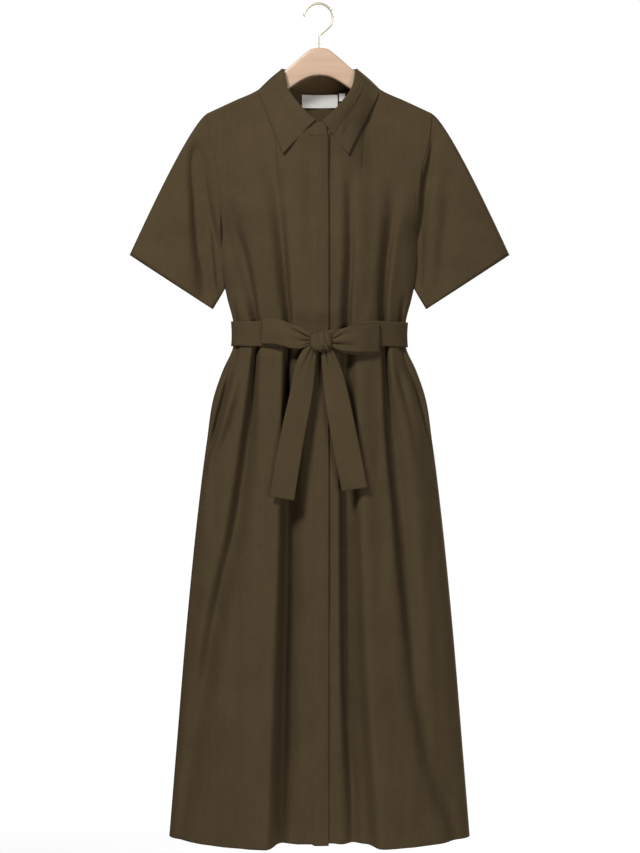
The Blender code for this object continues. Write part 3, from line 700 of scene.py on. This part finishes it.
def wire_metal(look):
    """Champagne-plated wire: satin, with faint drawing lines along it and a little dulling."""
    colour = tuple(look.wire)
    made = Finish("champagne_wire", colour, 0.4, Metallic=0.45)
    place = made.node("ShaderNodeTexCoord", {}, {}, "Object")
    haze = made.noise(place, 120.0, 3.0)
    lines = made.noise(made.stretched(place, (2500.0, 2500.0, 200.0)), 1.0, 2.0)
    made.feed("Base Color", made.mix(haze, tuple(c * 0.86 for c in colour), colour))
    made.feed("Roughness", haze * 0.14 + 0.34)
    made.feed("Normal", made.bump(lines, 0.00001, 0.2))
    return made.material


def material(name, maker):
    """The material of that name, made on first use."""
    found = bpy.data.materials.get(name)
    return found or maker(bpy.context.scene.dress_look)


def cloth():
    return material("olive_linen", dress_cloth)


def declare(nodes):
    """Hides the CAD nodes that a cloth piece stands for. Ties a cloth piece to the CAD nodes it
    stands for and states a flat size, which is an estimate.
    """
    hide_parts(*nodes)


class DressSizes(bpy.types.PropertyGroup):
    """Sizes of the sewn pieces."""

    cloth_thickness: bpy.props.FloatProperty(
        name="Cloth thickness", description="Thickness of one layer of cloth", default=0.9 * MM, unit="LENGTH"
    )
    belt_thickness: bpy.props.FloatProperty(
        name="Belt thickness", description="Thickness of the belt, which is two layers",
        default=1.8 * MM, unit="LENGTH"
    )
    collar_thickness: bpy.props.FloatProperty(
        name="Collar thickness", description="Thickness of the collar and its stand", default=1.3 * MM,
        unit="LENGTH"
    )
    placket_rise: bpy.props.FloatProperty(
        name="Placket rise", description="How far the folded front edge stands proud",
        default=0.9 * MM, unit="LENGTH"
    )


class DressLook(bpy.types.PropertyGroup):
    """Colours and weave."""

    cloth: bpy.props.FloatVectorProperty(
        name="Cloth", description="Colour of the dress cloth", subtype="COLOR",
        default=(0.080, 0.0565, 0.0297), min=0, max=1
    )
    tape: bpy.props.FloatVectorProperty(
        name="Label tape", description="Colour of the bare labels", subtype="COLOR",
        default=(0.80, 0.79, 0.75), min=0, max=1
    )
    wood: bpy.props.FloatVectorProperty(
        name="Hanger wood", description="Colour of the hanger", subtype="COLOR",
        default=(0.70, 0.50, 0.36), min=0, max=1
    )
    wire: bpy.props.FloatVectorProperty(
        name="Hook wire", description="Colour of the hook", subtype="COLOR",
        default=(0.84, 0.76, 0.60), min=0, max=1
    )
    thread_pitch: bpy.props.FloatProperty(
        name="Thread pitch", description="Distance between threads of the weave", default=0.75 * MM,
        unit="LENGTH"
    )


class DRESS_OT_fronts(bpy.types.Operator):
    """Both fronts: the right one laps over the left and its folded edge hides the fastening"""

    bl_idname = "dress.fronts"
    bl_label = "Fronts"

    def execute(self, context):
        sizes = context.scene.dress_sizes
        levels = levels_between(72, 250)
        for name, side, seed in (("front_right_cloth", -1, 1.3), ("front_left_cloth", 1, 2.6)):
            x = side * column_grid(levels, (12, 42, 62), OVERLAP)
            level = levels[:, None] + np.zeros_like(x)
            lap = 1 - ramp((side * x - 1.4 * OVERLAP) / OVERLAP)
            if side < 0:
                band = ramp((x - PLACKET_STITCH + 1) / 3.0)
                out = sizes.placket_rise / MM * band
                rise = -2.0 * ramp((-1300 - level) / 80) * band
            else:
                out = -UNDER_STEP * lap
                rise = 1.2 * ramp((-1300 - level) / 80) * lap
            points = cloth_points(x, level, True, out, rise, seed)
            points = points[:, ::side]
            grain = (points[..., 0] * MM + side, points[..., 2] * MM)
            piece = surface(name, points, cloth(), sizes.cloth_thickness / MM, cloth_uv=grain)
            declare(
                ["front_right" if side < 0 else "front_left"],
            )
        return {"FINISHED"}


class DRESS_OT_back(bpy.types.Operator):
    """The back, in one piece from side seam to side seam"""

    bl_idname = "dress.back"
    bl_label = "Back"

    def execute(self, context):
        levels = levels_between(66, 224)
        half = column_grid(levels, (0, 36, 44), 0.0)
        x = np.concatenate([-half[:, :0:-1], half], axis=1)
        level = levels[:, None] + np.zeros_like(x)
        points = cloth_points(x, level, False, seed=4.1)
        grain = (points[..., 0] * MM + 3, points[..., 2] * MM)
        piece = surface(
            "back_cloth", points, cloth(), context.scene.dress_sizes.cloth_thickness / MM, cloth_uv=grain
        )
        declare(["back"])
        return {"FINISHED"}


def armhole_ring(count):
    """Down the front armhole and up the back one: points, share of the way down, and side."""
    levels = SHOULDER_Z + (UNDERARM_Z - SHOULDER_Z) * np.linspace(0, 1, count) ** 1.2
    width = along(BODY, "half_width", levels)
    halves = []
    for front in (True, False):
        edge = cloth_points(width - 1.6, levels, front, -1.1, seed=1.3)
        edge[[0, -1], 1] = 0
        edge[0, 2] -= 1.4
        gone = np.linalg.norm(np.diff(edge, axis=0), axis=1)
        share = np.concatenate([[0], np.cumsum(gone)]) / gone.sum()
        halves.append((edge, share, np.full(len(share), -1.0 if front else 1.0)))
    return [np.concatenate([down, up[-2:0:-1]]) for down, up in zip(*halves, strict=True)]


def sleeve_points(side):
    """Quadratic curves from the armhole ring to the hem ring, less the folds on each half."""
    start, share, sign = armhole_ring(64)
    turn = share[np.argmin(np.abs(share - SLEEVE_TURN))]
    corners = np.array([SLEEVE_TOP, SLEEVE_CORNER, SLEEVE_UNDER])
    fullness = sign * SLEEVE_FULLNESS * np.clip(np.sin(np.pi * share), 0, 1) ** 0.7
    hem = [
        np.interp(share, [0, turn, 1], corners[:, 0]), fullness, np.interp(share, [0, turn, 1], corners[:, 1])
    ]
    end = np.stack(hem, -1)
    head = np.cos(np.pi / 2 * share) ** 2
    swell = sign * SLEEVE_SWELL * np.sin(np.pi * share)
    bend = start + SLEEVE_LEAD * (end - start)
    bend += np.stack([SLEEVE_HEAD[0] * head, swell, SLEEVE_HEAD[1] * head], -1)
    t = (np.linspace(0, 1, 72) ** 1.15)[:, None, None]
    points = (1 - t) ** 2 * start + 2 * t * (1 - t) * bend + t**2 * end
    points[..., 0] *= side
    x, y, z = np.moveaxis(points, -1, 0)
    pressed = folds(SLEEVE_FOLDS[side], x, z) * np.where(sign < 0, 1.0, 0.7)
    pressed = pressed * ramp(t[..., 0] / 0.06)
    edges = ramp(np.minimum(share, 1 - share) / 0.05)
    waves = ripple(z * 0.7, x * 1.1, 5.0 + side) * edges * ramp(t[..., 0] / 0.1)
    away = np.maximum(np.abs(y) - pressed + waves, np.minimum(np.abs(y), 0.8))
    points[..., 1] = np.where(sign < 0, -away, away)
    return points[:, ::side]


class DRESS_OT_sleeves(bpy.types.Operator):
    """Two short set-in sleeves, tubes from the armhole to a slanting hem"""

    bl_idname = "dress.sleeves"
    bl_label = "Sleeves"

    def execute(self, context):
        for name, side in (("sleeve_right", -1), ("sleeve_left", 1)):
            piece = surface(
                name + "_cloth",
                sleeve_points(side),
                cloth(),
                context.scene.dress_sizes.cloth_thickness / MM,
                closed=True,
            )
            # The rectangle stated here is too small. The built sleeve is 0.433 m round and up to 0.269 m
            # long. Only the area is as built.
            declare([name])
        return {"FINISHED"}


def neck_ring(angle):
    """The neck seam at an angle from the middle of the back, and the fold line above it."""
    front = np.abs(angle) > 90
    sine = np.sin(np.radians(angle))
    x = NECK_HALF * sine
    z = np.where(front, neckline(x, True)[1], neckline(x, False)[1])
    y = np.where(front, -ring_reach(sine, NECK_FRONT_REACH), ring_reach(sine, NECK_BACK_REACH))
    seam = np.stack([x, y, z + STAND_LIFT], -1)
    u = np.abs(sine)
    front_rise = 0.72 * u**1.35 + 0.28 * np.minimum(u / 0.985, 1) ** 22
    fold_z = np.where(
        front,
        FOLD_FRONT_Z + (FOLD_SIDE_Z - FOLD_FRONT_Z) * front_rise,
        FOLD_BACK_Z + (FOLD_SIDE_Z - FOLD_BACK_Z) * u**2 + 5.0 * np.exp(-(((np.abs(angle) - 66) / 13) ** 2)),
    )
    fold_y = np.where(front, -ring_reach(sine, FOLD_FRONT_REACH), ring_reach(sine, FOLD_BACK_REACH))
    return seam, np.stack([FOLD_HALF * sine, fold_y, fold_z], -1)


def clear_of_body(points, clear):
    """Moves points out until they clear the panels: outwards below the shoulder's round edge, and
    straight away from the middle of that edge above it."""
    x, y, z = np.moveaxis(points, -1, 0)
    moved = points.copy()
    sign = np.where(y > 0, 1.0, -1.0)
    for front in (True, False):
        here = (y <= 0) if front else (y > 0)
        top = top_edge(x, front)
        middle = np.where(np.abs(x) > NECK_HALF, top - SHOULDER_ROUND, top)
        above = np.maximum(z - middle, 0)
        wall = reach(x, level_at(x, np.minimum(z, middle), front), front)
        need = np.maximum(wall, SHOULDER_ROUND * (np.abs(x) > NECK_HALF)) + clear
        far = np.hypot(y, above) + 1e-6
        grow = np.maximum(need / far, 1)
        ridge = here & (np.abs(x) > NECK_HALF)
        moved[..., 1] = np.where(ridge, y * grow, moved[..., 1])
        moved[..., 2] = np.where(ridge & (z > middle), middle + above * grow, moved[..., 2])
        low = here & (np.abs(x) <= NECK_HALF) & (z < top - 1) & (np.abs(y) < wall + clear)
        moved[..., 1] = np.where(low, sign * (wall + clear), moved[..., 1])
    return moved


def collar_edge(angles, ends):
    """The collar's outer edge: straight from each point up to the shoulder, round behind it."""
    side = np.where(angles < 0, -1, 1)
    side_x, side_z = COLLAR_SIDE
    tip_x = np.where(side < 0, COLLAR_POINTS[-1][0], COLLAR_POINTS[1][0])
    tip_z = np.where(side < 0, COLLAR_POINTS[-1][1], COLLAR_POINTS[1][1])
    last = np.where(side < 0, ends[-1], ends[1])
    t = np.clip((np.abs(angles) - 90) / (last - 90), 0, 1)
    front = np.stack(
        [
            side * side_x + (tip_x - side * side_x) * t,
            -COLLAR_POINT_REACH * t**0.7,
            side_z + (tip_z - side_z) * t,
        ],
        -1,
    )
    turn = np.radians(np.clip(angles, -90, 90))
    back_z = FOLD_BACK_Z - COLLAR_BACK_DEPTH
    y = (NECK_BACK_REACH + COLLAR_BACK_OUT) * np.clip(np.cos(turn), 0, 1) ** 0.8
    back = np.stack([side_x * np.sin(turn), y, back_z + (side_z - back_z) * np.abs(np.sin(turn)) ** 3], -1)
    return np.where((np.abs(angles) > 90)[:, None], front, back)


def collar_points():
    """From inside the fold line, over a round roll, then straight rows out to the edge, slightly bowed."""
    ends = {s: 180 - math.degrees(math.asin(COLLAR_STARTS[s] / FOLD_HALF)) for s in (-1, 1)}
    angles = np.concatenate(
        [np.linspace(-ends[-1], -90, 60)[:-1], np.linspace(-90, 90, 70), np.linspace(90, ends[1], 60)[1:]]
    )
    seam, fold = neck_ring(angles)
    tangent = neck_ring(angles + 1)[1] - neck_ring(angles - 1)[1]
    up = (fold - seam) / np.linalg.norm(fold - seam, axis=1)[:, None]
    out = np.cross(up, tangent)
    out = out / np.linalg.norm(out, axis=1)[:, None]
    roll = 1.9
    centre = fold + out * roll - up * 2.3
    rows = [
        centre - out * roll * math.cos(a) + up * roll
        * math.sin(a) for a in np.linspace(0.15 * math.pi, math.pi, 9)
    ]
    leaf = rows[-1]
    edge = collar_edge(angles, ends)
    front = ramp((np.abs(angles) - 95) / 50)[:, None]
    for t in np.linspace(0, 1, 34)[1:]:
        bow = out * (
            1.5 + (COLLAR_BOW - 1.5) * ramp(np.abs(np.abs(angles) - 90) / 45)[:, None]
        ) * math.sin(math.pi * t)
        hollow = out * 3.0 * (ramp((t - 0.16) / 0.28) - 0.9 * ramp((t - 0.44) / 0.5)) * front
        row = leaf + (edge - leaf) * t + bow
        tip = 1.7 * ramp((t - 0.5) / 0.5) * ramp((np.abs(angles) - 140) / 40)
        row = clear_of_body(row, COLLAR_CLEAR)
        row = row - hollow
        row[:, 1] -= tip
        rows.append(row)
    leaf = np.array(rows)
    near = np.exp(
        -(((np.abs(angles) - 90) / 16) ** 2)
    )[None, :, None] * ramp((np.arange(len(rows)) - 3) / 7)[:, None, None]
    for _ in range(24):
        leaf[:, 1:-1] += near[:, 1:-1] * 0.5 * ((leaf[:, 2:] + leaf[:, :-2]) / 2 - leaf[:, 1:-1])
    return leaf[:, ::-1]


class DRESS_OT_collar(bpy.types.Operator):
    """The stand round the neck, its right end lapping the left, and the turned-down collar"""

    bl_idname = "dress.collar"
    bl_label = "Collar"

    def execute(self, context):
        thick = context.scene.dress_sizes.collar_thickness / MM
        angles = np.linspace(-190, 190, 240)
        seam, fold = neck_ring(angles)
        lap = np.where(angles > 90, 1 - ramp((seam[:, 0] - 1.4 * OVERLAP) / OVERLAP), 0)
        seam[:, 1] += UNDER_STEP * lap
        fold[:, 1] += UNDER_STEP * lap
        turned = np.radians(angles)
        seam = seam + np.stack([0.9 * np.sin(turned), -0.9 * np.abs(np.cos(turned)), -3.4 + 0 * turned], -1)
        stand = np.array([seam + (fold - seam) * t for t in np.linspace(0, 0.93, 14)])
        piece = surface("collar_stand_cloth", stand[::-1], cloth(), thick)
        declare(
            ["collar_stand"],
        )
        piece = surface("collar_cloth", collar_points(), cloth(), thick)
        declare(["collar"])
        return {"FINISHED"}


# Where the knot draws the front of the band together
DRAW_HALF = 78
DRAW_MIDDLE = 2
DRAW_BLEND = 56
DRAW_RAISE = 10
DRAW_SQUEEZE = 27


def belt_ring(z, out, count):
    """A closed line round the waist, moved out from the smooth cloth."""
    turn = np.linspace(-math.pi, math.pi, count, endpoint=False)
    sine = np.sin(turn)
    front = np.cos(turn) < 0
    width = along(BODY, "half_width", z) + out
    deep = np.where(front, -along(BODY, "front", z) - out, along(BODY, "back", z) + out)
    return np.stack([width * sine, deep * np.abs(np.cos(turn)) ** 1.3, np.full_like(sine, z)], -1)


def belt_front(x, z):
    """How far forward something lies that rests on the belt or on the ridges of the skirt."""
    return reach(x, np.minimum(z, BELT_TOP), True) + 5.2


def gather_depth(rows, across, out):
    """Depth of the gathers at a place across a strip and out from the knot: narrow troughs that fade."""
    depth = np.zeros_like(across + out)
    for start, end, deep, length in zip(
        rows["start"], rows["end"], rows["depth"], rows["length"], strict=True
    ):
        middle = start + (end - start) * out / length
        width = 0.05 + 0.13 * out / length
        depth = depth + deep * np.exp(-(((across - middle) / width) ** 2)) * (1 - ramp(out / length))
    return depth


def loop_points(name, rows):
    """A strip that leaves the knot, rolls back at its end and returns behind itself, gathered at the knot."""
    side = 1 if rows["x"][0] > 0 else -1
    near = abs(rows["x"][0])
    far = abs(rows["x"][-1]) + 1.0
    out = np.linspace(0, 1, 60) ** 0.9 * 0.96
    bend = np.linspace(0, math.pi, 15)[1:-1]
    share = np.concatenate([out, 0.96 + 0.04 * np.sin(bend), out[::-1]])[:, None]
    layer = np.concatenate([np.ones(60), 0.5 + 0.5 * np.cos(bend), np.zeros(60)])[:, None]
    across = np.linspace(0, 1, 40)[None, :]
    x = side * (near + (far - near) * share)
    top = along(rows, "top", x, "x")
    bottom = along(rows, "bottom", x, "x") - (1 - layer) * (1.2 + 2.8 * (side > 0)) * np.sin(math.pi * share)
    z = top + (bottom - top) * across
    behind = belt_front(x, (top + bottom) / 2) + 1.0 + 5.0 * (1 - share) ** 1.5
    puff = 4.0 + 6.0 * np.sin(math.pi * np.minimum(share, 0.95)) ** 0.8
    crown = 2.2 * np.sin(math.pi * across) * layer * (1 - 0.4 * share)
    gathered = gather_depth(GATHERS[name], across, share) * layer
    end_fold = (1.6 if side < 0 else 0.6) * np.exp(
        -(((share - 0.84) / 0.07) ** 2)
    ) * layer * np.sin(math.pi * across)
    y = -(behind + layer * puff + crown - gathered - end_fold)
    x = x + side * 1.5 * (across - 0.5) * share * (side < 0)
    points = np.stack([x + 0 * z, y + 0 * z, z], -1)
    return points[:, ::-1] if side > 0 else points


def tail_points(name, rows):
    """A flat end of the belt: it leaves the knot gathered, spreads and hangs clear of the skirt's ridges."""
    z = np.linspace(rows["z"][0], rows["z"][-1], 90)[:, None]
    across = np.linspace(0, 1, 30)[None, :]
    gone = (rows["z"][0] - z) / (rows["z"][0] - rows["z"][-1])
    right = along(rows, "right", z)
    left = along(rows, "left", z)
    x = right + (left - right) * across
    side = 1 if name.endswith("left") else -1
    knot_end = ramp((z - rows["z"][-1] + 140) / 236)
    forward = reach((left + right) / 2, z, True) + 7 + 5 * knot_end
    crown = (
        3.0 * np.sin(math.pi * across) * (1 - ramp(gone / 0.5))
        + 0.9 * np.sin(math.pi * across + 0.6) * np.sin(5 * gone)
    )
    curl = 1.2 * side * (across - 0.5) * np.sin(4 * gone + 1)
    y = -(forward + crown + curl - gather_depth(GATHERS[name], across, gone))
    slant = side * 0.15 * (x - (left + right) / 2) * ramp(gone * 4)
    return np.stack([x, y + 0 * x, z + slant], -1)


def knot_points():
    """A rounded lump wound by slanting strands: an oval whose radius dips along slanting lines."""
    up = np.linspace(0.02, math.pi - 0.02, 60)[:, None]
    turn = np.linspace(0, 2 * math.pi, 96, endpoint=False)[None, :]
    x = np.sin(up) * np.sin(turn)
    y = -np.sin(up) * np.cos(turn)
    z = np.cos(up) + 0 * turn
    squareness = 0.68
    x, y, z = (np.sign(c) * np.abs(c) ** squareness for c in (x, y, z))
    slant = x + z * 0.30
    groove = np.zeros_like(slant)
    for at, deep, width in (
        (-0.46, 0.12, 0.05), (-0.19, 0.2, 0.045), (0.03, 0.13, 0.035), (0.2, 0.17, 0.04), (0.56, 0.24, 0.07)
    ):
        groove = groove + deep * np.exp(-(((slant - at - 0.06 * np.sin(4 * z + 9 * at)) / width) ** 2))
    size = 1 - groove
    return np.stack(
        [c * size * s / 2 + m for c, s, m in zip((x, y, z), KNOT_SIZE, KNOT_CENTRE, strict=True)], -1
    )


class DRESS_OT_belt(bpy.types.Operator):
    """The belt of the same cloth: the band round the waist, the knot, the bow's loops and the hanging ends"""

    bl_idname = "dress.belt"
    bl_label = "Belt"

    def execute(self, context):
        thick = context.scene.dress_sizes.belt_thickness / MM
        rows = []
        for t in np.linspace(0, 1, 16):
            ring = belt_ring(
                BELT_TOP + (BELT_BOTTOM - BELT_TOP) * t, BAND_OUT + 0.9 * math.sin(math.pi * t), 300
            )
            ring[:, 2] += 0.8 * np.sin(ring[:, 0] / 31 + 1) + 0.4 * np.sin(ring[:, 0] / 13)
            drawn = ramp((DRAW_HALF - np.abs(ring[:, 0] - DRAW_MIDDLE)) / DRAW_BLEND) * (ring[:, 1] < 0)
            ring[:, 2] += drawn * (DRAW_RAISE - DRAW_SQUEEZE * (1 - t))
            ring[:, 1] += 0.5 * np.sin(ring[:, 0] / 9 + 5 * t) * np.sin(ring[:, 0] / 37)
            rows.append(ring)
        piece = surface("belt_band_cloth", np.array(rows), cloth(), thick, closed=True)
        declare(
            ["belt_band"],
        )
        for side in ("right", "left"):
            piece = surface(
                f"belt_loop_{side}_cloth", loop_points(f"loop_{side}", LOOPS[f"loop_{side}"]), cloth(), thick
            )
            declare([f"belt_loop_{side}"])
            piece = surface(
                f"belt_tail_{side}_cloth", tail_points(f"tail_{side}", TAILS[f"tail_{side}"]), cloth(), thick
            )
            declare([f"belt_tail_{side}"])
        points = knot_points()
        mesh = surface_mesh_closed("belt_knot_cloth", points)
        piece = finish_piece("belt_knot_cloth", mesh, cloth())
        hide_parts("belt_knot")
        return {"FINISHED"}


def surface_mesh_closed(name, points):
    """A closed mesh from rings of points, with a flat cap at each end and cloth coordinates."""
    rows, cols = points.shape[:2]
    index = np.arange(rows * cols).reshape(rows, cols)
    after = np.roll(index, -1, axis=1)
    quads = np.stack([index[:-1], after[:-1], after[1:], index[1:]], -1).reshape(-1, 4)
    mesh = bpy.data.meshes.new(name)
    mesh.from_pydata(
        (points.reshape(-1, 3) * MM).tolist(),
        [],
        quads.tolist() + [index[0, ::-1].tolist(), index[-1].tolist()],
    )
    recalculate(mesh)
    layer = mesh.uv_layers.new(name="cloth")
    place = np.empty(len(mesh.vertices) * 3, np.float32)
    mesh.vertices.foreach_get("co", place)
    corner = np.empty(len(mesh.loops), np.int32)
    mesh.loops.foreach_get("vertex_index", corner)
    layer.data.foreach_set("uv", place.reshape(-1, 3)[corner][:, [0, 2]].ravel())
    return mesh


class DRESS_OT_stitching(bpy.types.Operator):
    """Rows of stitches: down the hidden fastening's fold, and the tacks that hold its layers"""

    bl_idname = "dress.stitching"
    bl_label = "Stitching"

    def execute(self, context):
        made = material("sewing_thread", thread)
        levels = np.linspace(SHOULDER_Z - 2, HEM_Z + 3, 400)
        x = np.full_like(levels, PLACKET_STITCH - 1.2)
        line = cloth_points(x, levels, True, 0.0, 0.0, 1.3)
        line[:, 1] -= context.scene.dress_sizes.cloth_thickness / MM / 2 + 0.15
        piece = tubes(
            "placket_stitches", stitch_paths(line), np.array([0.1, 0.22, 0.24, 0.22, 0.1]), made, sides=6
        )
        rows = []
        for z in (-328.0, -494.0, -851.0):
            xs = np.linspace(PLACKET_STITCH, OVERLAP - 4, 24)
            rise = context.scene.dress_sizes.placket_rise / MM
            tack = cloth_points(xs, level_at(xs, np.full(24, z), True), True, rise, 0.0, 1.3)
            tack[:, 1] -= context.scene.dress_sizes.cloth_thickness / MM / 2 + 0.1
            rows.append(stitch_paths(tack))
        piece = tubes(
            "placket_tacks", np.concatenate(rows), np.array([0.1, 0.2, 0.22, 0.2, 0.1]), made, sides=6
        )
        return {"FINISHED"}


class DRESS_OT_labels(bpy.types.Operator):
    """The two bare labels inside the back neck"""

    bl_idname = "dress.labels"
    bl_label = "Labels"

    def execute(self, context):
        for name in ("label_main", "label_size"):
            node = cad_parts[name]
            node.data.materials.clear()
            node.data.materials.append(material("woven_tape", label_tape))
        return {"FINISHED"}


def hanger_points():
    """The yoke: a rounded upright section carried from one end to the other
    between its top and bottom curves."""
    half = np.concatenate([np.linspace(0, 178, 90), 178 + 8 * np.sin(np.linspace(0, math.pi / 2, 12)[1:])])
    half = half * HANGER_NOSE / 186
    top = along(HANGER, "top", half, "x")
    bottom = along(HANGER, "bottom", half, "x")
    close = np.sqrt(np.clip(1 - (np.clip(half - 176, 0, 10) / 10.05) ** 2, 0.0, 1))
    middle = (top + bottom) / 2
    top = middle + (top - middle) * close
    bottom = middle + (bottom - middle) * close
    x = np.concatenate([-half[:0:-1], half])
    top, bottom, close = (np.concatenate([c[:0:-1], c]) for c in (top, bottom, close))
    turn = np.linspace(0, 2 * math.pi, 40, endpoint=False)
    corner = 0.35
    across = np.sign(np.sin(turn)) * np.abs(np.sin(turn)) ** corner
    upright = np.sign(np.cos(turn)) * np.abs(np.cos(turn)) ** corner
    tall = (top - bottom)[:, None] / 2
    y = across[None, :] * HANGER_THICK / 2 * (0.35 + 0.65 * close[:, None])
    z = ((top + bottom) / 2)[:, None] + upright[None, :] * tall
    return np.stack([x[:, None] + 0 * y, y, z], -1)


class DRESS_OT_hanger(bpy.types.Operator):
    """A flat beech hanger with a bent wire hook"""

    bl_idname = "dress.hanger"
    bl_label = "Hanger"

    def execute(self, context):
        mesh = surface_mesh_closed("hanger_yoke", hanger_points())
        piece = finish_piece("hanger_yoke", mesh, material("beech", beech))
        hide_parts("hanger_body")
        centre = HOOK_WIRE / 2 - HOOK_BEND
        arc = np.radians(np.linspace(*HOOK_SWEEP, 90))
        bend = np.stack(
            [HOOK_CENTRE_X + HOOK_BEND * np.cos(arc), 0 * arc, centre + HOOK_BEND * np.sin(arc)], -1
        )
        end = bend[-1]
        corner = np.array([0.4, 0.0, -50.5])
        foot = np.array([0.0, 0.0, along(HANGER, "top", 0.0, "x") - 3.0])
        t = np.linspace(0, 1, 14)[1:, None]
        near = corner + (end - corner) * 0.16
        below = np.array([0.0, 0.0, -53.5])
        turned = (1 - t) ** 2 * near + 2 * t * (1 - t) * corner + t**2 * below
        path = np.concatenate([bend, near[None], turned, foot[None]])
        gone = np.concatenate([[0], np.cumsum(np.linalg.norm(np.diff(path, axis=0), axis=1))])
        even = np.linspace(0, gone[-1], 150)
        path = np.stack([np.interp(even, gone, path[:, i]) for i in range(3)], -1)
        radii = HOOK_WIRE / 2 * np.clip(np.sqrt(1 - (1 - np.clip(even / 2.0, 0, 1)) ** 2), 0.12, 1)
        piece = tubes(
            "hook_bent_wire", path[None], radii[None], material("champagne_wire", wire_metal), sides=20
        )
        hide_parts("hanger_hook")
        return {"FINISHED"}


def softbox(name, size, place, aim, power):
    """A square area light pointed at a place."""
    data = bpy.data.lights.new(name, "AREA")
    data.shape = "RECTANGLE"
    data.size, data.size_y = size
    data.energy = power
    lamp = bpy.data.objects.new(name, data)
    lamp.location = place
    away = np.array(place) - np.array(aim)
    flat = math.hypot(away[0], away[1])
    lamp.rotation_euler = (math.atan2(flat, away[2]), 0, math.atan2(away[0], -away[1]))
    bpy.context.scene.collection.objects.link(lamp)


class DRESS_OT_stage(bpy.types.Operator):
    """Pale floor, bright surroundings, soft lights and the camera"""

    bl_idname = "dress.stage"
    bl_label = "Stage, lights and camera"

    def execute(self, context):
        scene = context.scene
        scene.view_settings.view_transform = "Standard"
        world = bpy.data.worlds.new("studio")
        world.use_nodes = True
        tree = world.node_tree
        tree.nodes.clear()
        seen = tree.nodes.new("ShaderNodeBackground")
        seen.inputs["Color"].default_value = (1, 1, 1, 1)
        seen.inputs["Strength"].default_value = 1.02
        lit = tree.nodes.new("ShaderNodeBackground")
        lit.inputs["Color"].default_value = (1, 1, 1, 1)
        lit.inputs["Strength"].default_value = 0.035
        path = tree.nodes.new("ShaderNodeLightPath")
        mixed = tree.nodes.new("ShaderNodeMixShader")
        out = tree.nodes.new("ShaderNodeOutputWorld")
        tree.links.new(path.outputs["Is Camera Ray"], mixed.inputs[0])
        tree.links.new(lit.outputs[0], mixed.inputs[1])
        tree.links.new(seen.outputs[0], mixed.inputs[2])
        tree.links.new(mixed.outputs[0], out.inputs["Surface"])
        scene.world = world

        turn = np.linspace(0, 2 * math.pi, 96, endpoint=False)
        mesh = bpy.data.meshes.new("studio_floor")
        rim = np.stack([3 * np.cos(turn), 3 * np.sin(turn), np.full_like(turn, -1.78)], -1)
        mesh.from_pydata(rim.tolist(), [], [list(range(96))])
        pale = Finish("studio_floor", (0.9, 0.9, 0.9), 0.6)
        place = pale.node("ShaderNodeTexCoord", {}, {}, "Object")
        pale.feed("Roughness", pale.noise(place, 3.0) * 0.1 + 0.55)
        away = pale.node(
            "ShaderNodeVectorMath", {"operation": "LENGTH"}, {0: pale.stretched(place, (1.0, 1.0, 0.0))}, 1
        )
        pale.feed("Alpha", ((1.9 - away) * 0.7).clamp())
        mesh.materials.append(pale.material)
        floor = bpy.data.objects.new("studio_floor", mesh)
        scene.collection.objects.link(floor)

        softbox("key", (0.7, 0.7), (-1.2, -2.0, 1.35), (0, 0, -0.35), 76)
        softbox("fill", (0.9, 0.9), (0.9, -2.6, -0.95), (0, 0, -0.3), 23)
        softbox("rear", (1.6, 2.0), (1.7, 2.1, 0.7), (0, 0, -0.7), 150)

        lens = bpy.data.cameras.new("camera")
        lens.sensor_fit = "AUTO"
        lens.sensor_width = 36
        lens.lens = 36 * 1566 / 853
        camera = bpy.data.objects.new("camera", lens)
        camera.location = (0.0008, -2.6, -0.7005)
        camera.rotation_euler = (math.pi / 2, 0, 0)
        scene.collection.objects.link(camera)
        scene.camera = camera
        return {"FINISHED"}


class DRESS_PT_panel(bpy.types.Panel):
    """The sidebar panel with the sizes, colours and pieces of the dress"""

    bl_idname = "DRESS_PT_panel"
    bl_label = "Shirt dress"
    bl_space_type = "VIEW_3D"
    bl_region_type = "UI"
    bl_category = "Shirt dress"

    def draw(self, context):
        for group in (context.scene.dress_sizes, context.scene.dress_look):
            for key in group.__annotations__:
                self.layout.prop(group, key)
        for step in STEPS:
            self.layout.operator(step.bl_idname)


STEPS = (
    DRESS_OT_stage,
    DRESS_OT_hanger,
    DRESS_OT_fronts,
    DRESS_OT_back,
    DRESS_OT_sleeves,
    DRESS_OT_collar,
    DRESS_OT_belt,
    DRESS_OT_stitching,
    DRESS_OT_labels,
)
CLASSES = (DressSizes, DressLook, *STEPS, DRESS_PT_panel)


def register():
    for item in CLASSES:
        bpy.utils.register_class(item)
    bpy.types.Scene.dress_sizes = bpy.props.PointerProperty(type=DressSizes)
    bpy.types.Scene.dress_look = bpy.props.PointerProperty(type=DressLook)


def unregister():
    del bpy.types.Scene.dress_look
    del bpy.types.Scene.dress_sizes
    for item in reversed(CLASSES):
        bpy.utils.unregister_class(item)


def main():
    register()
    for step in STEPS:
        group, name = step.bl_idname.split(".")
        getattr(getattr(bpy.ops, group), name)()


if __name__ == "__main__":
    main()
